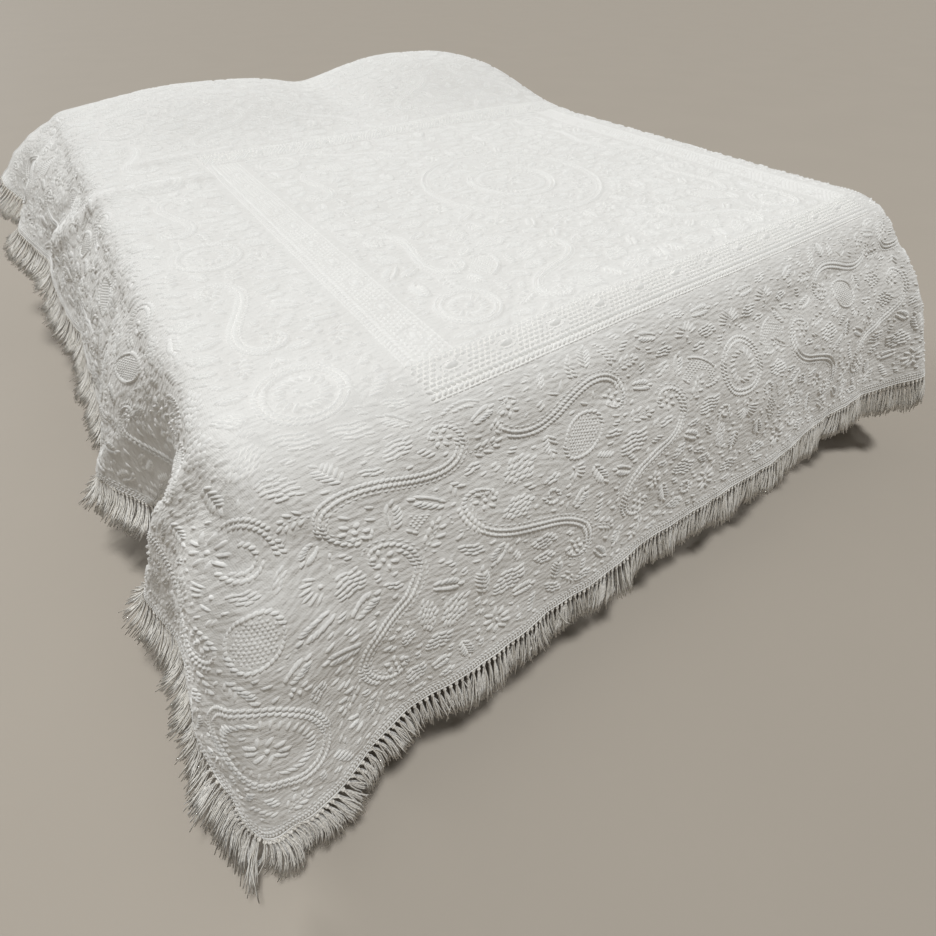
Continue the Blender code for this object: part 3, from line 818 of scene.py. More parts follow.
def beside(path, distance):
    """A path beside another one."""
    slope = np.arctan2(np.gradient(path[:, 1]), np.gradient(path[:, 0]))
    return path + distance * np.column_stack([-np.sin(slope), np.cos(slope)])


def rope(path):
    """A raised cord of slanted turns."""
    return chain(path, 0.0080, 0.0135, ROPE_WIDTH, 0.50)


def thin_cord(path):
    return chain(path, 0.0100, 0.0125, CORD_WIDTH)


def spoke(reach, angle, length, width, turn=0.0):
    """A puff at a distance from the middle, pointing outwards but for its turn."""
    return puff(reach * math.cos(angle), reach * math.sin(angle), angle + turn, length, width)


def set_out(motif, reach, angle, turn=0.0):
    """A motif at a distance from the middle, pointing outwards but for its turn."""
    return moved(motif, reach * math.cos(angle), reach * math.sin(angle), angle + turn)


def rosette(petals, radius):
    """A round flower: a button and its petals."""
    parts = [puff(0.0, 0.0, 0.0, *BUTTON_SIZE)]
    for number in range(petals):
        parts.append(spoke(0.0075 + radius * 0.38, math.tau * number / petals, radius * 0.72, PETAL_WIDTH))
    return np.vstack(parts)


def leaf_sprig(reach, bend):
    """A curved stem with leaves in pairs and one at its tip."""
    part = np.linspace(0.0, 1.0, 12)
    parts = [thin_cord(np.column_stack([reach * part, bend * reach * part ** 2]))]
    for number in range(LEAF_PAIRS):
        along = (number + 0.75) / (LEAF_PAIRS + 0.25)
        x, y = reach * along, bend * reach * along ** 2
        heading = math.atan2(2.0 * bend * along, 1.0)
        length = reach * 0.40 * math.sin(math.pi * (0.30 + 0.52 * along))
        away = length / 2.0 + 0.003
        for angle in (heading - 0.80, heading + 0.80):
            parts.append(puff(x + away * math.cos(angle), y + away * math.sin(angle), angle, length,
                              LEAF_WIDTH))
    tip = math.atan2(2.0 * bend, 1.0)
    parts.append(puff(reach + 0.008 * math.cos(tip), bend * reach + 0.008 * math.sin(tip), tip, 0.018,
                      LEAF_WIDTH))
    return np.vstack(parts)


def feather(rows, length):
    """Two banks of slanted puffs laid side by side, as a full leaf."""
    parts = []
    for number in range(rows):
        along = (number - rows / 2.0) * FEATHER_PITCH
        size = length * (0.60 + 0.40 * math.sin(math.pi * (number + 0.6) / rows))
        for side in (-1.0, 1.0):
            x = along + size * 0.5 * math.cos(BARB_LEAN)
            y = side * (0.0013 + size * 0.5 * math.sin(BARB_LEAN))
            parts.append(puff(x, y, side * BARB_LEAN, size, LEAF_WIDTH))
    parts.append(puff(rows * FEATHER_PITCH / 2.0 + 0.010, 0.0, 0.0, 0.016, LEAF_WIDTH))
    return np.vstack(parts)


def ranks(rows):
    """Each row's number and its distance from the middle row."""
    return [(number, number - (rows - 1) / 2.0) for number in range(rows)]


def stack(rows, length):
    """Long puffs laid side by side like ribs, each a little further along than the last."""
    parts = []
    for _, middle in ranks(rows):
        size = length * (1.0 - 0.10 * abs(middle))
        parts.append(puff(middle * RIB_STEP[0], middle * RIB_STEP[1], 0.0, size, RIB_WIDTH))
    return np.vstack(parts)


def ripples(rows, reach):
    """Wavy ridges side by side along the weft, each of puffs that run into one another."""
    part = np.linspace(-0.5, 0.5, 24)
    parts = []
    for number, middle in ranks(rows):
        along = middle * RIPPLE_STEP[0] + reach * (1.0 - 0.12 * abs(middle)) * part
        aside = middle * RIPPLE_STEP[1] + RIPPLE_WAVE * np.sin(math.tau * 1.3 * part + 0.9 * number)
        parts.append(chain(np.column_stack([along, aside]), 0.0118, 0.0188, RIB_WIDTH, 0.14))
    return np.vstack(parts)


def fan(blades, reach):
    """Blades spread from one point, with a bead at the root."""
    parts = [puff(0.0, 0.0, 0.0, 0.008, 0.0075)]
    for number in range(blades):
        angle = (number / (blades - 1) - 0.5) * FAN_SPREAD
        length = reach * (0.62 + 0.16 * math.cos(angle))
        parts.append(spoke(0.008 + length / 2.0, angle, length, RIB_WIDTH))
    return np.vstack(parts)


def berries():
    """Three round berries and two leaves."""
    parts = [spoke(0.0065, angle, 0.0085, 0.0078, -angle) for angle in (1.3, 3.4, 5.5)]
    parts += [puff(0.018, side * 0.006, side * 0.35, 0.017, RIB_WIDTH) for side in (-1.0, 1.0)]
    return np.vstack(parts)


def lattice(half_length, half_width):
    """A lens of small diamonds inside a thin outline."""
    beads = []
    count = int(half_length / BEAD_PITCH) + 2
    for row in range(-count, count + 1):
        for column in range(-count, count + 1):
            x = (column + 0.5 * (row % 2)) * BEAD_PITCH * 1.10
            y = row * BEAD_PITCH * 0.66
            if (x / half_length) ** 2 + (abs(y) / half_width) ** 1.5 < 0.72:
                beads.append((x, y, 0.0, *BEAD_SIZE))
    edge = np.linspace(0.0, math.tau, 50)
    bulge = half_width * np.sin(edge) * np.abs(np.sin(edge)) ** 0.25
    return np.vstack([np.array(beads), rope(np.column_stack([half_length * np.cos(edge), bulge]))])


def curl(radius, inner, turns):
    return rope(spiral(radius, inner, turns))


def scroll(radius, turns):
    """A rope that winds in to a button, with a thin cord beside it."""
    path = spiral(radius, radius * 0.22, turns)
    return np.vstack([rope(path), puff(0.0, radius, 0.0, 0.011, 0.011), rope(beside(path[:48], -CORD_GAP))])


# Leaves outside each half of an S: where along it, how they turn from it, and how far out their middles are
SCROLL_LEAVES = [
    # share of the path, turn, motif, reach
    (0.12, -1.0, "leaf feather", 0.046),
    (0.26, -1.1, "leaf sprig", 0.014),
    (0.34, -1.3, "leaf feather", 0.046),
]


def double_scroll(length, wind):
    """An S of rope with a thin cord beside it, flowers at its two eyes and leaves outside its bends."""
    path = double_scroll_path(length, wind)
    steps = len(path)
    parts = [rope(path), rope(beside(path[26:-26], CORD_GAP)), thin_cord(beside(path[8:-8], -0.0088))]
    for sign, tip, way in ((1.0, path[-1], 0.0), (-1.0, path[0], math.pi)):
        middle = path[steps // 2 + int(sign * 0.34 * steps)]
        parts.append(moved(rosette(6, 0.019), *(tip * 0.62 + middle * 0.38)))
        for share, turn, kind, reach in SCROLL_LEAVES:
            number = steps // 2 + int(sign * share * steps)
            ahead = path[number + 2] - path[number - 2]
            away = math.atan2(ahead[1], ahead[0]) + way + turn
            x, y = path[number]
            leaf = make_motif(kind)
            parts.append(moved(leaf, x + reach * math.cos(away), y + reach * math.sin(away), away))
    return np.vstack(parts)


def disc(radius):
    """A wheel: a rope round a thin cord, a ring of petals and a flower in the middle."""
    parts = [rope(ring(radius)), rope(ring(radius - CORD_GAP))]
    reach = radius - 0.030
    count = int(math.tau * reach / 0.0110)
    parts += [spoke(reach, math.tau * number / count, 0.022, RIB_WIDTH, 0.5) for number in range(count)]
    if radius > 0.065:
        parts.append(rosette(9, radius * 0.40))
    return np.vstack(parts)


def wreath(radius, flowers):
    """A ring of rope with flowers and leaves by turns outside it."""
    parts = [rope(ring(radius, 160)), thin_cord(ring(radius - 0.012, 160))]
    for number in range(flowers):
        angle = math.tau * (number + 0.5) / flowers
        parts.append(set_out(rosette(8, 0.030), radius + 0.046, angle))
        parts.append(set_out(feather(5, 0.022), radius + 0.045, math.tau * number / flowers))
        parts.append(set_out(fan(5, 0.030), radius - 0.050, angle, math.pi))
    return np.vstack(parts)


# What makes each motif, and its sizes
MOTIFS = {
    "disc": (disc, 0.088),
    "small disc": (disc, 0.060),
    "double scroll": (double_scroll, 0.47, 4.6),
    "scroll": (scroll, 0.050, 1.4),
    "curl": (curl, 0.020, 0.007, 1.15),
    "lattice": (lattice, 0.052, 0.030),
    "rosette": (rosette, 9, 0.036),
    "small rosette": (rosette, 7, 0.026),
    "fan": (fan, 7, 0.038),
    "small fan": (fan, 6, 0.032),
    "feather": (feather, 6, 0.026),
    "leaf feather": (feather, 5, 0.025),
    "small feather": (feather, 5, 0.024),
    "leaf sprig": (leaf_sprig, 0.052, 0.3),
    "sprig": (leaf_sprig, 0.056, 0.25),
    "berries": (berries,),
    "five ripples": (ripples, 5, 0.056),
    "four ripples": (ripples, 4, 0.044),
    "three ripples": (ripples, 3, 0.036),
    "two ripples": (ripples, 2, 0.030),
    "five ribs": (stack, 5, 0.027),
    "three ribs": (stack, 3, 0.023),
    "two ribs": (stack, 2, 0.020),
}


@lru_cache
def make_motif(kind):
    maker, *sizes = MOTIFS[kind]
    return maker(*sizes)


# The large figures of the left half, by row: where each starts and how far apart its figures stand
MARGIN_ROWS = [
    # kind, first u, first v, step u, step v, number, turn, alternate turn, size
    ("disc", U_LEFT + 0.172, V_FOOT + 0.168, 0.0, 2.17, 2, 0.0, 0.0, 1.0),
    ("double scroll", U_LEFT + 0.445, V_FOOT + 0.215, 0.300, 0.0, 3, 0.30, -0.30, 1.0),
    ("double scroll", U_LEFT + 0.190, V_FOOT + 0.460, 0.0, 0.300, 6, 1.25, 1.85, 1.0),
    ("double scroll", U_LEFT + 0.445, HEAD_EDGE - 0.190, 0.300, 0.0, 3, -0.30, 0.30, 1.0),
    ("lattice", U_LEFT + 0.300, V_FOOT + 0.330, 0.300, 0.0, 4, 0.5, -0.5, 1.0),
    ("lattice", U_LEFT + 0.330, V_FOOT + 0.610, 0.0, 0.300, 5, 1.1, 2.0, 1.0),
    ("lattice", U_LEFT + 0.300, HEAD_EDGE - 0.330, 0.300, 0.0, 4, -0.5, 0.5, 1.0),
    ("small disc", BAND_LEFT - 0.135, BAND_FOOT + 0.110, 0.0, 0.470, 4, 0.0, 0.0, 1.0),
    ("double scroll", BAND_LEFT - 0.145, BAND_FOOT + 0.345, 0.0, 0.470, 3, 1.10, 1.95, 0.86),
    ("rosette", U_LEFT + 0.290, V_FOOT + 0.075, 0.300, 0.0, 4, 0.0, 0.0, 1.0),
    ("rosette", U_LEFT + 0.330, V_FOOT + 0.460, 0.0, 0.300, 6, 0.0, 0.0, 1.0),
    ("double scroll", U_LEFT + 0.600, V_FOOT + 0.400, 0.300, 0.0, 2, -0.35, 0.35, 0.9),
    ("scroll", U_LEFT + 0.400, V_FOOT + 0.400, 0.300, 0.0, 3, 0.8, 2.2, 1.0),
    ("scroll", BAND_LEFT - 0.330, BAND_FOOT + 0.180, 0.0, 0.235, 5, 0.6, 2.4, 1.0),
    ("fan", U_LEFT + 0.300, V_FOOT + 0.405, 0.150, 0.0, 8, 1.57, 1.57, 1.0),
    ("double scroll", BAND_LEFT + 0.120, BAND_HEAD + 0.190, 0.320, 0.0, 2, 0.35, -0.35, 1.0),
]


def left_half_figures():
    """The large figures on the left half of the cloth, each an array of puffs."""
    figures = []
    for kind, u, v, step_u, step_v, number, turn, other_turn, size in MARGIN_ROWS:
        for place in range(number):
            odd = place % 2 == 1
            figures.append(set_down(make_motif(kind), u + step_u * place, v + step_v * place,
                                    other_turn if odd else turn, size, odd))
    return figures


def middle_figures():
    """Figures that stand on the cloth's middle line, each the same on both sides."""
    parts = []
    for v, turn in ((V_FOOT + 0.300, math.pi / 2.0), (HEAD_EDGE - 0.190, -math.pi / 2.0)):
        parts.append(set_down(disc(0.062), MIDDLE_U, v))
        for way in (turn, -turn):
            parts.append(set_down(fan(9, 0.046), MIDDLE_U, v + 0.088 * math.sin(way), way))
    return parts


# The large figures in the foot left quarter of the middle field, from its corner
FIELD_ROWS = [
    # kind, u, v, turn, size
    ("small disc", 0.085, 0.085, 0.0, 0.9),
    ("double scroll", 0.300, 0.110, 0.25, 0.80),
    ("double scroll", 0.110, 0.300, 1.32, 0.80),
    ("lattice", 0.185, 0.185, 0.785, 1.0),
    ("feather", 0.165, 0.045, 0.1, 1.0),
    ("feather", 0.045, 0.165, 1.47, 1.0),
]


def field_quarter_figures():
    corner_u, corner_v = BAND_LEFT + BAND_WIDTH, BAND_FOOT + BAND_WIDTH
    return [set_down(make_motif(kind), corner_u + u, corner_v + v, turn, size)
            for kind, u, v, turn, size in FIELD_ROWS]


class FreeGround:
    """Which small squares of the flat cloth no puff covers yet."""

    CELL = 0.0034
    CLEAR = 0.0012

    def __init__(self):
        wide = int((U_RIGHT - U_LEFT) / self.CELL) + 2
        high = int((HEAD_EDGE - V_FOOT) / self.CELL) + 2
        self.taken = np.zeros((high, wide), bool)

    def cells(self, puffs, clear):
        u, v, angle, length, width = (puffs[:, column, None, None] for column in range(5))
        x = (length / 2.0 + clear) * np.linspace(-1.0, 1.0, 11)[None, :, None]
        y = (width / 2.0 + clear) * np.linspace(-1.0, 1.0, 5)[None, None, :]
        column = ((u + x * np.cos(angle) - y * np.sin(angle) - U_LEFT) / self.CELL).astype(int)
        row = ((v + x * np.sin(angle) + y * np.cos(angle) - V_FOOT) / self.CELL).astype(int)
        return np.clip(row, 0, self.taken.shape[0] - 1), np.clip(column, 0, self.taken.shape[1] - 1)

    def is_free(self, puffs):
        return not self.taken[self.cells(puffs, 0.0)].any()

    def take(self, puffs):
        self.taken[self.cells(puffs, self.CLEAR)] = True

    def take_box(self, u_low, u_high, v_low, v_high):
        columns = [int((u - U_LEFT) / self.CELL) for u in (u_low, u_high)]
        rows = [int((v - V_FOOT) / self.CELL) for v in (v_low, v_high)]
        self.taken[max(rows[0], 0):rows[1] + 1, max(columns[0], 0):columns[1] + 1] = True


def apart(figures):
    """Keep of each figure the puffs that clear the figures before it."""
    ground = FreeGround()
    kept = []
    for puffs in figures:
        free = np.array([ground.is_free(row[None]) for row in puffs])
        if free.any():
            ground.take(puffs[free])
            kept.append(puffs[free])
    return kept


HEM_CLEAR = 0.030
HEAD_CLEAR = 0.020
MIDDLE_CLEAR = 0.002
BAND_CLEAR = 0.004
FIELD_CLEAR = 0.006


def inside(puffs, low_u, high_u, low_v, high_v):
    """The puffs whose ends stay inside a flat box."""
    reach_u = np.abs(np.cos(puffs[:, 2])) * puffs[:, 3] / 2.0
    reach_v = np.abs(np.sin(puffs[:, 2])) * puffs[:, 3] / 2.0
    keep = (puffs[:, 0] - reach_u > low_u) & (puffs[:, 0] + reach_u < high_u)
    keep &= (puffs[:, 1] - reach_v > low_v) & (puffs[:, 1] + reach_v < high_v)
    return puffs[keep]


def outside_band(puffs):
    """The puffs that lie clear of the woven frame and its middle field."""
    edge = 0.010
    within = (puffs[:, 0] > BAND_LEFT - edge) & (puffs[:, 0] < BAND_RIGHT + edge)
    within &= (puffs[:, 1] > BAND_FOOT - edge) & (puffs[:, 1] < BAND_HEAD + edge)
    return puffs[~within]


FILL_PASSES = [
    # motif, tries, smallest size, largest size, whether it lies along the weft
    ("five ripples", 500, 0.90, 1.20, True),
    ("small feather", 700, 0.90, 1.20, False),
    ("sprig", 800, 0.90, 1.15, False),
    ("small rosette", 300, 0.80, 1.00, False),
    ("four ripples", 1500, 0.85, 1.15, True),
    ("curl", 500, 0.90, 1.20, False),
    ("five ribs", 900, 0.85, 1.10, True),
    ("three ripples", 3000, 0.85, 1.10, True),
    ("small fan", 500, 0.80, 1.05, False),
    ("two ripples", 4500, 0.85, 1.15, True),
    ("three ribs", 2500, 0.80, 1.05, True),
    ("berries", 900, 0.80, 1.00, False),
    ("two ribs", 5000, 0.80, 1.10, True),
]
LEAN_SPREAD = 0.38
SINGLE_STEP_U = 0.0105
SINGLE_STEP_V = 0.0070
SINGLE_SHARE = 0.62
SINGLE_LENGTHS = (0.013, 0.021)
SINGLE_WIDTHS = (0.0048, 0.0062)


def fill_sprigs(ground, seed, low_u, high_u, low_v, high_v):
    """Small motifs dropped where the ground is still free, the larger kinds first, then single puffs."""
    chance = np.random.default_rng(seed)
    kept = []
    for kind, tries, small, large, level in FILL_PASSES:
        for _ in range(tries):
            u, v = chance.uniform(low_u, high_u), chance.uniform(low_v, high_v)
            turn = chance.uniform(0.0, math.tau)
            if level:
                turn = chance.normal(0.0, LEAN_SPREAD)
            size = chance.uniform(small, large)
            trial = set_down(make_motif(kind), u, v, turn, size, chance.random() < 0.5)
            if len(inside(trial, low_u, high_u, low_v, high_v)) == len(trial) and ground.is_free(trial):
                ground.take(trial)
                kept.append(trial)
    for v in np.arange(low_v, high_v, SINGLE_STEP_V):
        for u in np.arange(low_u, high_u, SINGLE_STEP_U):
            chosen, turn = chance.random() < SINGLE_SHARE, chance.normal(0.0, LEAN_SPREAD)
            trial = puff(u + chance.normal(0.0, 0.002), v + chance.normal(0.0, 0.0015), turn,
                         chance.uniform(*SINGLE_LENGTHS), chance.uniform(*SINGLE_WIDTHS))
            if chosen and len(inside(trial, low_u, high_u, low_v, high_v)) and ground.is_free(trial):
                ground.take(trial)
                kept.append(trial)
    return kept


def fill_between(figures, standing, seed, box, closed=None):
    """The figures' puffs that clear the standing ones, with sprigs between them in a flat box."""
    kept = apart(standing + [puffs for puffs in figures if len(puffs)])[len(standing):]
    ground = FreeGround()
    for puffs in kept + standing:
        ground.take(puffs)
    if closed:
        ground.take_box(*closed)
    return kept + fill_sprigs(ground, seed, *box)


def pattern_puffs():
    """Every puff of the raised pattern outside the woven frame, in flat places."""
    seed = bpy.context.scene.bedspread.cloth.fill_seed
    middle = middle_figures()
    margin = (U_LEFT + HEM_CLEAR, MIDDLE_U - MIDDLE_CLEAR, V_FOOT + HEM_CLEAR, HEAD_EDGE - HEAD_CLEAR)
    band = (BAND_LEFT - BAND_CLEAR, MIDDLE_U + 0.1, BAND_FOOT - BAND_CLEAR, BAND_HEAD + BAND_CLEAR)
    figures = [outside_band(inside(puffs, *margin)) for puffs in left_half_figures()]
    margins = fill_between(figures, middle, seed, margin, band)

    centre = [set_down(disc(0.110), MIDDLE_U, MIDDLE_V), set_down(wreath(0.225, 12), MIDDLE_U, MIDDLE_V)]
    field = (BAND_LEFT + BAND_WIDTH + FIELD_CLEAR, MIDDLE_U - MIDDLE_CLEAR,
             BAND_FOOT + BAND_WIDTH + FIELD_CLEAR, MIDDLE_V - MIDDLE_CLEAR)
    figures = [inside(puffs, *field) for puffs in field_quarter_figures()]
    quarter = np.vstack(fill_between(figures, centre, seed + 1, field))

    left = np.vstack(margins + [quarter, turned_over(quarter, MIDDLE_V)])
    right = inside(mirrored(left, MIDDLE_U), MIDDLE_U, U_RIGHT - HEM_CLEAR, V_FOOT, HEAD_EDGE)
    return np.vstack([left, right] + middle + centre)


# Rows of the woven frame in from its outer edge, and its cells and ovals. A row has a pitch, and its
# puffs a length and a width. The arms along the bed are stretched flatter than those across it.
THIN_ROW = (0.0100, 0.0122, 0.0044)
THIN_FIRST = 0.0026
THIN_LAST = 0.0815
ROPE_ROW = (0.0092, 0.0138, 0.0074)
ROPE_TURN = 0.80
CELL_ROWS = 6
CELLS_FROM = 0.0305
CELLS_TO = 0.0735
CELL_PITCH = 0.0104
CELL_SIZE = (0.0106, 0.0072)
CELL_TURN = 0.22
OVAL_PITCH = 0.098
OVAL_HALF = (0.0185, 0.0100)
OVAL_CLEAR = (0.0250, 0.0160)
ALONG_FULLNESS = 0.50
ACROSS_FULLNESS = 1.60

# Puffs narrower than this are domes, the others long low mounds
SMALL_WIDTH = 0.0050


def band_arm(length):
    """Puffs of one arm of the woven frame: x along it, y in from its outer edge."""
    def row(y, pitch, size, width, turn=0.0):
        return chain([(0.0, y), (length, y)], pitch, size, width, turn)

    rows = [row(THIN_FIRST, *THIN_ROW), row(0.0105, *ROPE_ROW, ROPE_TURN),
            row(0.0205, *ROPE_ROW, -ROPE_TURN)]
    middle = (CELLS_FROM + CELLS_TO) / 2.0
    ovals = np.arange(0.060, length - 0.040, OVAL_PITCH)
    for number in range(CELL_ROWS):
        y = CELLS_FROM + (CELLS_TO - CELLS_FROM) * number / (CELL_ROWS - 1)
        shift = CELL_PITCH / 2.0 * (number % 2)
        line = [(shift, y), (length - CELL_PITCH + shift, y)]
        cells = chain(line, CELL_PITCH, *CELL_SIZE, CELL_TURN)
        near = np.abs(cells[:, 0, None] - ovals[None]).min(axis=1)
        rows.append(cells[(near / OVAL_CLEAR[0]) ** 2 + ((y - middle) / OVAL_CLEAR[1]) ** 2 > 1.0])
    around = np.linspace(0.0, math.tau, 30)
    for oval in ovals:
        outline = np.column_stack([oval + OVAL_HALF[0] * np.cos(around),
                                   middle + OVAL_HALF[1] * np.sin(around)])
        rows += [chain(outline, 0.0082, 0.0088, 0.0042), puff(oval, middle, 0.0, 0.0240, 0.0125)]
    return np.vstack(rows + [row(THIN_LAST, *THIN_ROW)])


def band_puffs():
    """Puffs of the whole woven frame: the arms across run through, those along the bed lie between."""
    across = band_arm(BAND_RIGHT - BAND_LEFT)
    along = band_arm(BAND_HEAD - BAND_FOOT - 2.0 * BAND_WIDTH)
    foot = moved(across, BAND_LEFT, BAND_FOOT)
    head = turned_over(foot, MIDDLE_V)
    left = moved(along, BAND_LEFT, BAND_FOOT + BAND_WIDTH, math.pi / 2.0, 1.0, True)
    right = mirrored(left, MIDDLE_U)
    return np.vstack([foot, head, left, right])


def hem_path(reach):
    """A flat path along the three fringed edges, a distance inside them."""
    left, right, foot, head = U_LEFT + reach, U_RIGHT - reach, V_FOOT + reach, HEAD_EDGE - 0.004
    return [(left, head), (left, foot), (right, foot), (right, head)]


def hem_braid():
    """Two opposed rows of slanted turns and a thin cord inside each fringed edge."""
    turns = [chain(hem_path(reach), 0.0064, 0.0090, 0.0048, lean)
             for reach, lean in ((0.0060, 0.70), (0.0130, -0.70))]
    return np.vstack(turns + [thin_cord(hem_path(0.0200))])


def raise_puffs(name, puffs, form, fullness=1.0):
    """A piece of copies of a form set on the draped cloth at their flat places, each stuffed to a share."""
    settings = bpy.context.scene.bedspread.cloth
    points, triangles = form
    u, v, angle, length, width = (puffs[:, column, None] for column in range(5))
    x, y = points[None, :, 0] * length, points[None, :, 1] * width
    flat_u = np.clip(u + x * np.cos(angle) - y * np.sin(angle), U_LEFT, U_RIGHT)
    flat_v = np.clip(v + x * np.sin(angle) + y * np.cos(angle), V_FOOT, HEAD_EDGE)
    rise = settings.puff_rise * width * fullness + settings.puff_sink
    height = settings.thickness / 2.0 - settings.puff_sink + points[None, :, 2] * rise
    placed = surface().at(flat_u, flat_v, height)
    mesh = joined_mesh(name, placed, triangles, np.stack([flat_u, flat_v], axis=-1))
    place_piece(name, mesh, puffed_cotton_painted_light(), "matelasse_cotton")


class BEDSPREAD_OT_raise_pattern(bpy.types.Operator):
    """Raise the scrolls, flowers and leaves on the cloth"""

    bl_idname = "bedspread.raise_pattern"
    bl_label = "Raise the Pattern"

    def execute(self, context):
        puffs = pattern_puffs()
        small = puffs[:, 4] < SMALL_WIDTH
        right = puffs[:, 0] > MIDDLE_U
        raise_puffs("small_puffs", puffs[small], dome())
        raise_puffs("left_puffs", puffs[~small & ~right], noodle())
        raise_puffs("right_puffs", puffs[~small & right], noodle())
        return {"FINISHED"}


class BEDSPREAD_OT_weave_band(bpy.types.Operator):
    """Weave the roped frame round the middle of the cloth"""

    bl_idname = "bedspread.weave_band"
    bl_label = "Weave the Frame"

    def execute(self, context):
        puffs = band_puffs()
        along = np.abs(puffs[:, 1] - MIDDLE_V) < (BAND_HEAD - BAND_FOOT) / 2.0 - BAND_WIDTH
        fullness = np.where(along, ALONG_FULLNESS, ACROSS_FULLNESS)[:, None]
        raise_puffs("woven_frame", puffs, noodle(), fullness)
        return {"FINISHED"}


def tube_along(name, points, radius):
    """A round cord through points, as a mesh with closed ends."""
    curve = bpy.data.curves.new(name, "CURVE")
    curve.dimensions = "3D"
    curve.bevel_depth = radius
    curve.bevel_resolution = 1
    curve.use_fill_caps = True
    spline = curve.splines.new("POLY")
    spline.points.add(len(points) - 1)
    spline.points.foreach_set("co", np.column_stack([points, np.ones(len(points))]).ravel())
    guide = bpy.data.objects.new(name, curve)
    mesh = bpy.data.meshes.new_from_object(guide)
    bpy.data.objects.remove(guide)
    bpy.data.curves.remove(curve)
    form = bmesh.new()
    form.from_mesh(mesh)
    bmesh.ops.remove_doubles(form, verts=form.verts, dist=1e-6)
    bmesh.ops.recalc_face_normals(form, faces=form.faces)
    form.to_mesh(mesh)
    form.free()
    mesh.shade_smooth()
    return mesh


def edge_line(side):
    """Flat places along one edge of the cloth, head to foot, across, and foot to head."""
    cloth = surface()
    if side == "left":
        return np.full(len(cloth.rows), U_LEFT), cloth.rows[::-1]
    if side == "foot":
        return cloth.columns, np.full(len(cloth.columns), V_FOOT)
    if side == "right":
        return np.full(len(cloth.rows), U_RIGHT), cloth.rows
    return cloth.columns[::-1], np.full(len(cloth.columns), HEAD_EDGE)


class BEDSPREAD_OT_finish_hem(bpy.types.Operator):
    """Roll the cloth's edges and lay the braid inside them"""

    bl_idname = "bedspread.finish_hem"
    bl_label = "Finish the Hem"

    def execute(self, context):
        radius = context.scene.bedspread.cloth.hem_radius
        lines = [surface().at(*edge_line(side)) for side in ("left", "foot", "right", "head")]
        around = np.vstack([line[:-1] for line in lines] + [lines[0][:1]])
        mesh = tube_along("rolled_edge", around, radius)
        points = np.array([mesh.vertices[loop.vertex_index].co for loop in mesh.loops])
        flat = points[:, :2] + points[:, 2:]
        mesh.uv_layers.new(name=FLAT_MAP).data.foreach_set("uv", flat.ravel())
        place_piece("rolled_edge", mesh, puffed_cotton_painted_light(), "matelasse_cotton")
        raise_puffs("hem_braid", hem_braid(), dome())
        return {"FINISHED"}


FRINGE_HANG = [
    # side, droop, splay, lean round the corner at its start, and at its end
    ("left", 0.05, 0.50, 0.00, 0.64),
    ("foot", 0.45, 0.05, 0.64, 0.12),
    ("right", 0.60, 0.00, 0.12, 0.00),
]
CORNER_FAN = 0.14
CORNER_CLOSENESS = 0.75
HEM_INSIDE = 0.012
YARN_STATIONS = (0.0, 0.09, 0.27, 0.50, 0.76, 1.0)
YARN_TAPER = 0.25
YARN_TUCK = 0.80
YARN_SPREAD = 1.12
STRAY_SHARE = 0.05
KNOT_SIZE = (0.0034, 0.0036, 0.0030)
# Uneven hang along the hem: how much, how fast in radians a metre, and phase
LEAN_WAVES = ((0.13, 61.0, 0.0), (0.07, 23.0, 1.0))
SPLAY_WAVE = (0.08, 37.0, 0.0)
LENGTH_WAVE = (0.06, 19.0, 0.0)
# Chance differences from yarn to yarn, in shares or metres
LEAN_SCATTER = 0.05
ORDER_SCATTER = 0.03
SPREAD_SCATTER = 0.0022
WANDER_SCATTER = 0.0026
STRAY_SCATTER = 0.016
SHADE_SCATTER = 0.15
KNOT_SCATTER = 0.08
# How deep the bundle is at the knot and at its ends, and how far a yarn curls
KNOT_DEPTH = 0.0009
END_DEPTH = 0.0030
CURL_ASIDE = 0.0016
CURL_OUT = 0.002


@lru_cache
def yarn_form():
    """A straight three-sided yarn one long with rings at the stations, its points and triangles."""
    form = bmesh.new()
    bmesh.ops.create_cone(form, segments=3, radius1=1.0, radius2=1.0, depth=1.0, cap_ends=True)
    bmesh.ops.translate(form, vec=(0.0, 0.0, 0.5), verts=form.verts)
    for station in YARN_STATIONS[1:-1]:
        cut_form(form, station, dist=1e-6)
    root = [face for face in form.faces if face.calc_center_median().z < 1e-6]
    bmesh.ops.delete(form, geom=root, context="FACES_ONLY")
    return form_arrays(form)


def hem_walk(side):
    """Points down one hem with its direction, the way out of the cloth and the cloth's facing."""
    u, v = edge_line(side)
    inward_u = {"left": HEM_INSIDE, "foot": 0.0, "right": -HEM_INSIDE}[side]
    inward_v = HEM_INSIDE if side == "foot" else 0.0
    points = surface().at(u, v)
    along = unit(np.gradient(points, axis=0))
    away = points - surface().at(u + inward_u, v + inward_v)
    away = unit(away - along * (away * along).sum(axis=1, keepdims=True))
    return points, along, away, np.cross(along, away)


def sway(runs, amount, rate, phase):
    return amount * np.sin(runs * rate + phase)


def at_runs(runs, lengths, *columns):
    """Each column's rows read at distances along the hem."""
    return [np.column_stack([np.interp(runs, lengths, column[:, axis]) for axis in range(3)])
            for column in columns]


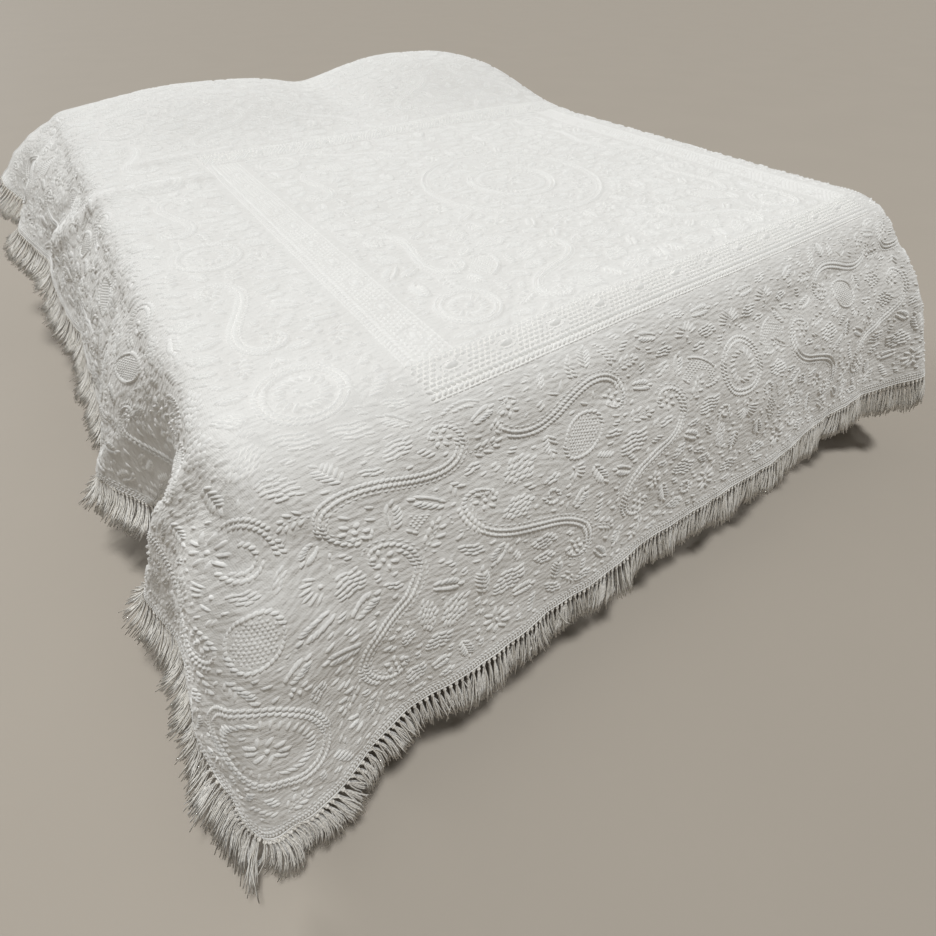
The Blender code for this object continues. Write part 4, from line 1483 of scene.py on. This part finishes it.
def tie_fringe(side, droop, splay, start_lean, end_lean, chance):
    """Points, flat map and shades of the yarns and knots of one side's fringe."""
    settings = bpy.context.scene.bedspread.fringe
    points, along, away, facing = hem_walk(side)
    lengths = np.concatenate([[0.0], np.cumsum(np.linalg.norm(np.diff(points, axis=0), axis=1))])
    near_corner = np.zeros(len(lengths))
    if start_lean > 0.0:
        near_corner += smoothstep(1.0 - lengths / CORNER_FAN)
    if end_lean > 0.0:
        near_corner += smoothstep(1.0 - (lengths[-1] - lengths) / CORNER_FAN)
    closeness = 1.0 + CORNER_CLOSENESS * near_corner
    turns = np.concatenate([[0.0], np.cumsum(np.diff(lengths) * (closeness[1:] + closeness[:-1]) / 2.0)])
    count = int(turns[-1] / settings.pitch)
    runs = np.interp((np.arange(count) + 0.5) * turns[-1] / count, turns, lengths)
    root, along, away, facing = at_runs(runs, lengths, points, along, away, facing)
    along, away, facing = unit(along), unit(away), unit(facing)

    lean = end_lean * smoothstep(1.0 - (lengths[-1] - runs) / CORNER_FAN)
    lean -= start_lean * smoothstep(1.0 - runs / CORNER_FAN)
    slow, quick = (sway(runs, *waves) for waves in LEAN_WAVES)
    lean += slow + quick + chance.normal(0.0, LEAN_SCATTER, count)
    outward = -unit(facing * np.array([1.0, 1.0, 0.0]))
    heading = away + along * lean[:, None] + outward * (splay + sway(runs, *SPLAY_WAVE))[:, None]
    heading += np.array([0.0, 0.0, -droop])
    heading = unit(heading)

    each = (count, settings.yarns)
    order = ((np.arange(settings.yarns) + 0.5) / settings.yarns - 0.5)[None]
    order = order + chance.normal(0.0, ORDER_SCATTER, each)
    depth = chance.normal(0.0, 1.0, each)
    uneven = sway(runs, *LENGTH_WAVE)[:, None]
    reach = settings.length * (1.0 + uneven - settings.ragged * chance.random(each))
    spread = order * settings.pitch * YARN_SPREAD + chance.normal(0.0, SPREAD_SCATTER, each)
    wander = chance.normal(0.0, WANDER_SCATTER, each)
    stray = np.where(chance.random(each) < STRAY_SHARE, chance.normal(0.0, STRAY_SCATTER, each), 0.0)
    phase = chance.uniform(0.0, math.tau, each)[..., None]

    form_points, triangles = yarn_form()
    ring = form_points[:, 2]
    knot = settings.knot_drop / settings.length
    above = np.clip(ring / knot, 0.0, 1.0)
    below = np.clip((ring - knot) / (1.0 - knot), 0.0, 1.0)
    tuck = order * settings.pitch * YARN_TUCK
    aside = tuck[..., None] * (1.0 - above) ** 1.2
    fallen = spread[..., None] * below ** 0.75 + (wander[..., None] + stray[..., None] * below) * below
    fallen = fallen + CURL_ASIDE * np.sin(phase + 7.0 * below) * below
    out = depth[..., None] * (KNOT_DEPTH + END_DEPTH * below)
    out = out + CURL_OUT * np.cos(phase * 1.7 + 6.0 * below) * below
    fall = (reach[..., None] - settings.knot_drop) * below
    thick = settings.yarn_radius * form_points[:, :2] * (1.0 - YARN_TAPER * below)[:, None]

    def spread_out(vectors, amounts):
        return vectors[:, None, None, :] * amounts[..., None]

    placed = root[:, None, None, :] + spread_out(away, fall * (1.0 - below) + settings.knot_drop * above)
    placed = placed + spread_out(heading, fall * below)
    placed = placed + spread_out(along, aside + fallen + thick[:, 0])
    placed = placed - spread_out(facing, out + thick[:, 1])
    around = np.arctan2(form_points[:, 1], form_points[:, 0]) * settings.yarn_radius
    flat = np.stack([np.broadcast_to(around, (*each, len(ring))), reach[..., None] * ring], axis=-1)
    shades = np.clip(0.35 + 0.30 * depth + chance.normal(0.0, SHADE_SCATTER, each), 0.0, 1.0).ravel()
    yarn_mesh = joined_mesh("fringe_" + side, placed.reshape(len(shades), -1, 3), triangles,
                            flat.reshape(len(shades), -1, 2), shades)

    ball = bmesh.new()
    bmesh.ops.create_uvsphere(ball, u_segments=6, v_segments=4, radius=1.0)
    knot_points, knot_triangles = form_arrays(ball)
    size = KNOT_SIZE * (1.0 + chance.normal(0.0, KNOT_SCATTER, (count, 1)))
    knots = (root + away * settings.knot_drop)[:, None]
    for axis, own, number in ((along, 0, 0), (away, 2, 1), (facing, 1, 2)):
        knots = knots + axis[:, None] * (knot_points[None, :, own, None] * size[:, None, number:number + 1])
    knot_flat = np.broadcast_to(knot_points[None, :, :2] * 0.005, (count, len(knot_points), 2))
    knot_shades = chance.uniform(0.5, 1.0, count)
    knot_mesh = joined_mesh("knots_" + side, knots, knot_triangles, knot_flat, knot_shades)
    return yarn_mesh, knot_mesh


class BEDSPREAD_OT_tie_fringes(bpy.types.Operator):
    """Tie the knotted cotton fringe along the left, foot and right hems"""

    bl_idname = "bedspread.tie_fringes"
    bl_label = "Tie the Fringes"

    def execute(self, context):
        chance = np.random.default_rng(5)
        for side, *hang in FRINGE_HANG:
            yarn_mesh, knot_mesh = tie_fringe(side, *hang, chance)
            place_piece("yarn_fringe_" + side, yarn_mesh, cotton_yarn(), "cotton_yarn", "fringe_" + side)
            place_piece("knots_" + side, knot_mesh, cotton_yarn(), "cotton_yarn")
        return {"FINISHED"}


class BEDSPREAD_OT_lay_cloth(bpy.types.Operator):
    """Lay the thin cloth over the bed"""

    bl_idname = "bedspread.lay_cloth"
    bl_label = "Lay the Cloth"

    def execute(self, context):
        cloth = surface()
        high, wide = cloth.points.shape[:2]
        form = bmesh.new()
        bmesh.ops.create_grid(form, x_segments=wide - 1, y_segments=high - 1, size=1.0, calc_uvs=False)
        layer = form.loops.layers.uv.new(FLAT_MAP)
        for vert in form.verts:
            column = round((vert.co.x + 1.0) / 2.0 * (wide - 1))
            row = round((vert.co.y + 1.0) / 2.0 * (high - 1))
            flat = (cloth.columns[column], cloth.rows[row])
            for loop in vert.link_loops:
                loop[layer].uv = flat
            vert.co = cloth.points[row, column]
        item = place_piece("draped_cloth", smooth_mesh("draped_cloth", form), matelasse_cotton(),
                           "matelasse_cotton", "bedspread")
        wall = item.modifiers.new("cloth thickness", "SOLIDIFY")
        wall.thickness = context.scene.bedspread.cloth.thickness
        wall.offset = 0.0
        names = ["small_puffs", "left_puffs", "right_puffs", "woven_frame", "hem_braid", "rolled_edge"]
        names += [kind + side for side in ("left", "foot", "right") for kind in ("yarn_fringe_", "knots_")]
        return {"FINISHED"}


PILLOW_SHARE = 0.79
PILLOW_THICK_SHARE = 0.84
PILLOW_SQUARENESS = 0.18
PILLOW_RIM = 0.10
GATHERS = 22.0
GATHER_DEPTH = 0.012
PILLOW_FLOOR = TOP - 0.0015
PILLOW_GAP = 0.0004


def pillow_place(direction):
    """Where a point of a ball one in radius lies on a pillow one in half size and in thickness."""
    ring = direction.xy.length
    square = 1.0 + PILLOW_SQUARENESS * (ring / max(abs(direction.x), abs(direction.y), 1e-6) - 1.0)
    pleat = 0.5 + 0.5 * math.sin(GATHERS * math.atan2(direction.y, direction.x))
    gather = 1.0 - GATHER_DEPTH * (1.0 - abs(direction.z)) * pleat
    rise = PILLOW_RIM * (1.0 + direction.z)
    if direction.z > 0.0:
        rise = PILLOW_RIM + (1.0 - PILLOW_RIM) * direction.z
    return direction.x * square, direction.y * square, gather, rise


class BEDSPREAD_OT_fill_pillows(bpy.types.Operator):
    """Fill the two pillows under the cloth"""

    bl_idname = "bedspread.fill_pillows"
    bl_label = "Fill the Pillows"

    def execute(self, context):
        for name, middle_x, middle_y, half_width, half_length, height in PILLOW_HUMPS:
            form = bmesh.new()
            bmesh.ops.create_uvsphere(form, u_segments=64, v_segments=32, radius=1.0)
            for vert in form.verts:
                across, along, gather, rise = pillow_place(vert.co)
                vert.co = (middle_x + across * half_width * PILLOW_SHARE * gather,
                           middle_y + along * half_length * PILLOW_SHARE * gather,
                           PILLOW_FLOOR + PILLOW_GAP + height * PILLOW_THICK_SHARE * rise)
            bmesh.ops.recalc_face_normals(form, faces=form.faces)
            mesh = smooth_mesh("filled_pillow_" + name, form)
            item = place_piece("filled_pillow_" + name, mesh, pillow_cotton(), "pillow_cotton",
                               "pillow_" + name)
        return {"FINISHED"}


def eased_box(name, low, high, ease, segments):
    """A box between two corners with rounded edges."""
    form = bmesh.new()
    bmesh.ops.create_cube(form, size=1.0)
    bmesh.ops.scale(form, vec=high - low, verts=form.verts)
    bmesh.ops.translate(form, vec=(low + high) / 2.0, verts=form.verts)
    bmesh.ops.bevel(form, geom=form.edges, offset=ease, segments=segments, profile=0.5, affect="EDGES",
                    material=-1)
    return smooth_mesh(name, form)


def edge_ring(low, high, ease, z, segments=8):
    """Points round a box's outline at a height, with rounded corners, closed."""
    points = []
    corners = ((high.x, high.y), (low.x, high.y), (low.x, low.y), (high.x, low.y))
    for number, (corner_x, corner_y) in enumerate(corners):
        middle_x = corner_x - math.copysign(ease, corner_x - (low.x + high.x) / 2.0)
        middle_y = corner_y - math.copysign(ease, corner_y - (low.y + high.y) / 2.0)
        for step in range(segments + 1):
            angle = math.pi * 0.5 * (number + step / segments)
            points.append((middle_x + ease * math.cos(angle), middle_y + ease * math.sin(angle), z))
    return np.array(points + points[:1])


MATTRESS_EASE = 0.086
BASE_EASE = 0.012
PIPING_LOW = 0.078
PIPING_HIGH = 0.084
PIPING_SEAT = Vector((0.002, 0.002, 0.0))


class BEDSPREAD_OT_dress_mattress(bpy.types.Operator):
    """Cover the mattress in ticking with piped edges"""

    bl_idname = "bedspread.dress_mattress"
    bl_label = "Dress the Mattress"

    def execute(self, context):
        low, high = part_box("mattress")
        mesh = eased_box("soft_mattress", low, high, MATTRESS_EASE, 8)
        item = place_piece("soft_mattress", mesh, mattress_ticking(), "mattress_ticking", "mattress")
        radius = context.scene.bedspread.bed.piping_radius
        for name, z in (("piping_low", low.z + PIPING_LOW), ("piping_high", high.z - PIPING_HIGH)):
            ring = edge_ring(low + PIPING_SEAT, high - PIPING_SEAT, MATTRESS_EASE, z)
            place_piece(name, tube_along(name, ring, radius), mattress_ticking(), "mattress_ticking")
        return {"FINISHED"}


class BEDSPREAD_OT_cover_base(bpy.types.Operator):
    """Cover the base in woven cloth"""

    bl_idname = "bedspread.cover_base"
    bl_label = "Cover the Base"

    def execute(self, context):
        low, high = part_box("bed_base")
        mesh = eased_box("covered_base", low, high, BASE_EASE, 3)
        place_piece("covered_base", mesh, base_cover(), "base_cover", "bed_base")
        return {"FINISHED"}


# Camera as the photograph was taken: its place and its own axes, and a frame 936 pixels square
CAMERA_AT = (-0.8133, -1.4824, 1.1640)
CAMERA_RIGHT = (0.81844, -0.57446, 0.01191)
CAMERA_UP = (0.32498, 0.47991, 0.81490)
CAMERA_BACK = (-0.47384, -0.66309, 0.57947)
SENSOR = 36.0
FRAME_PIXELS = 936.0
FOCAL_PIXELS = 554.06
AXIS_PIXEL_Y = 350.0
FLOOR_REACH = 30.0
LIGHT_FROM = (0.04, -0.19, 0.981)
RAKE_FROM = (-0.36, 0.86, 0.36)
LAMP_COLOR = "#F6F8F9"
ROOM_COLOR = "#F7F2EA"
HORIZON_SHARE = 0.06
FADE_TOP = 0.8


class BEDSPREAD_OT_set_stage(bpy.types.Operator):
    """Set the floor, the lights and the camera"""

    bl_idname = "bedspread.set_stage"
    bl_label = "Set the Stage"

    def execute(self, context):
        scene = context.scene
        settings = scene.bedspread.stage
        form = bmesh.new()
        bmesh.ops.create_grid(form, x_segments=8, y_segments=8, size=FLOOR_REACH)
        floor = bpy.data.objects.new("floor", smooth_mesh("floor", form))
        floor.data.materials.append(floor_paint())
        scene.collection.objects.link(floor)

        # Soft room light, full overhead and fading towards eye level
        world = bpy.data.worlds.new("room light")
        world.use_nodes = True
        tree = world.node_tree
        back = tree.nodes["Background"]
        way = add_node(tree, "ShaderNodeTexCoord").outputs["Generated"]
        height = add_node(tree, "ShaderNodeSeparateXYZ", {}, {0: way}).outputs[2]
        fade = add_node(tree, "ShaderNodeMapRange", {}, {
            "Value": height, "From Min": 0.0, "From Max": FADE_TOP,
            "To Min": HORIZON_SHARE * settings.sky, "To Max": settings.sky})
        back.inputs["Color"].default_value = (*linear(ROOM_COLOR), 1.0)
        tree.links.new(fade.outputs[0], back.inputs["Strength"])
        scene.world = world

        for name, strength, way_from in (("overhead light", settings.key_strength, LIGHT_FROM),
                                         ("raking light", settings.rake_strength, RAKE_FROM)):
            lamp = bpy.data.lights.new(name, "SUN")
            lamp.energy = strength
            lamp.angle = settings.key_spread
            lamp.color = linear(LAMP_COLOR)
            light = bpy.data.objects.new(name, lamp)
            light.rotation_euler = Vector(way_from).to_track_quat("Z", "Y").to_euler()
            scene.collection.objects.link(light)
        # The plain transform keeps the bleached cotton as white as it is
        scene.view_settings.view_transform = "Standard"

        lens = bpy.data.cameras.new("camera")
        lens.sensor_fit = "HORIZONTAL"
        lens.sensor_width = SENSOR
        lens.lens = SENSOR * FOCAL_PIXELS / FRAME_PIXELS
        lens.shift_y = (AXIS_PIXEL_Y - FRAME_PIXELS / 2.0) / FRAME_PIXELS
        camera = bpy.data.objects.new("camera", lens)
        turn = Matrix((CAMERA_RIGHT, CAMERA_UP, CAMERA_BACK)).transposed()
        camera.matrix_world = Matrix.Translation(CAMERA_AT) @ turn.to_4x4()
        scene.collection.objects.link(camera)
        scene.camera = camera
        return {"FINISHED"}


OPERATORS = (
    BEDSPREAD_OT_set_stage,
    BEDSPREAD_OT_cover_base,
    BEDSPREAD_OT_dress_mattress,
    BEDSPREAD_OT_fill_pillows,
    BEDSPREAD_OT_raise_pattern,
    BEDSPREAD_OT_weave_band,
    BEDSPREAD_OT_finish_hem,
    BEDSPREAD_OT_tie_fringes,
    BEDSPREAD_OT_lay_cloth,
)


class BEDSPREAD_PT_panel(bpy.types.Panel):
    """Lists the pieces of the bedspread and its bed"""

    bl_label = "Bedspread"
    bl_idname = "BEDSPREAD_PT_panel"
    bl_space_type = "VIEW_3D"
    bl_region_type = "UI"
    bl_category = "Bedspread"

    def draw(self, context):
        settings = context.scene.bedspread
        for group in (settings.cloth, settings.fringe, settings.bed, settings.stage):
            box = self.layout.box()
            for name in group.bl_rna.properties.keys():
                if name not in ("rna_type", "name"):
                    box.prop(group, name)
        for operator in OPERATORS:
            self.layout.operator(operator.bl_idname)


CLASSES = (ClothSettings, FringeSettings, BedSettings, StageSettings, BedspreadSettings, *OPERATORS,
           BEDSPREAD_PT_panel)


def register():
    for item in CLASSES:
        bpy.utils.register_class(item)
    bpy.types.Scene.bedspread = PointerProperty(type=BedspreadSettings)


def unregister():
    del bpy.types.Scene.bedspread
    for item in reversed(CLASSES):
        bpy.utils.unregister_class(item)


def main():
    """Make every piece in order."""
    register()
    for operator in OPERATORS:
        group, name = operator.bl_idname.split(".")
        getattr(getattr(bpy.ops, group), name)()


if __name__ == "__main__":
    main()
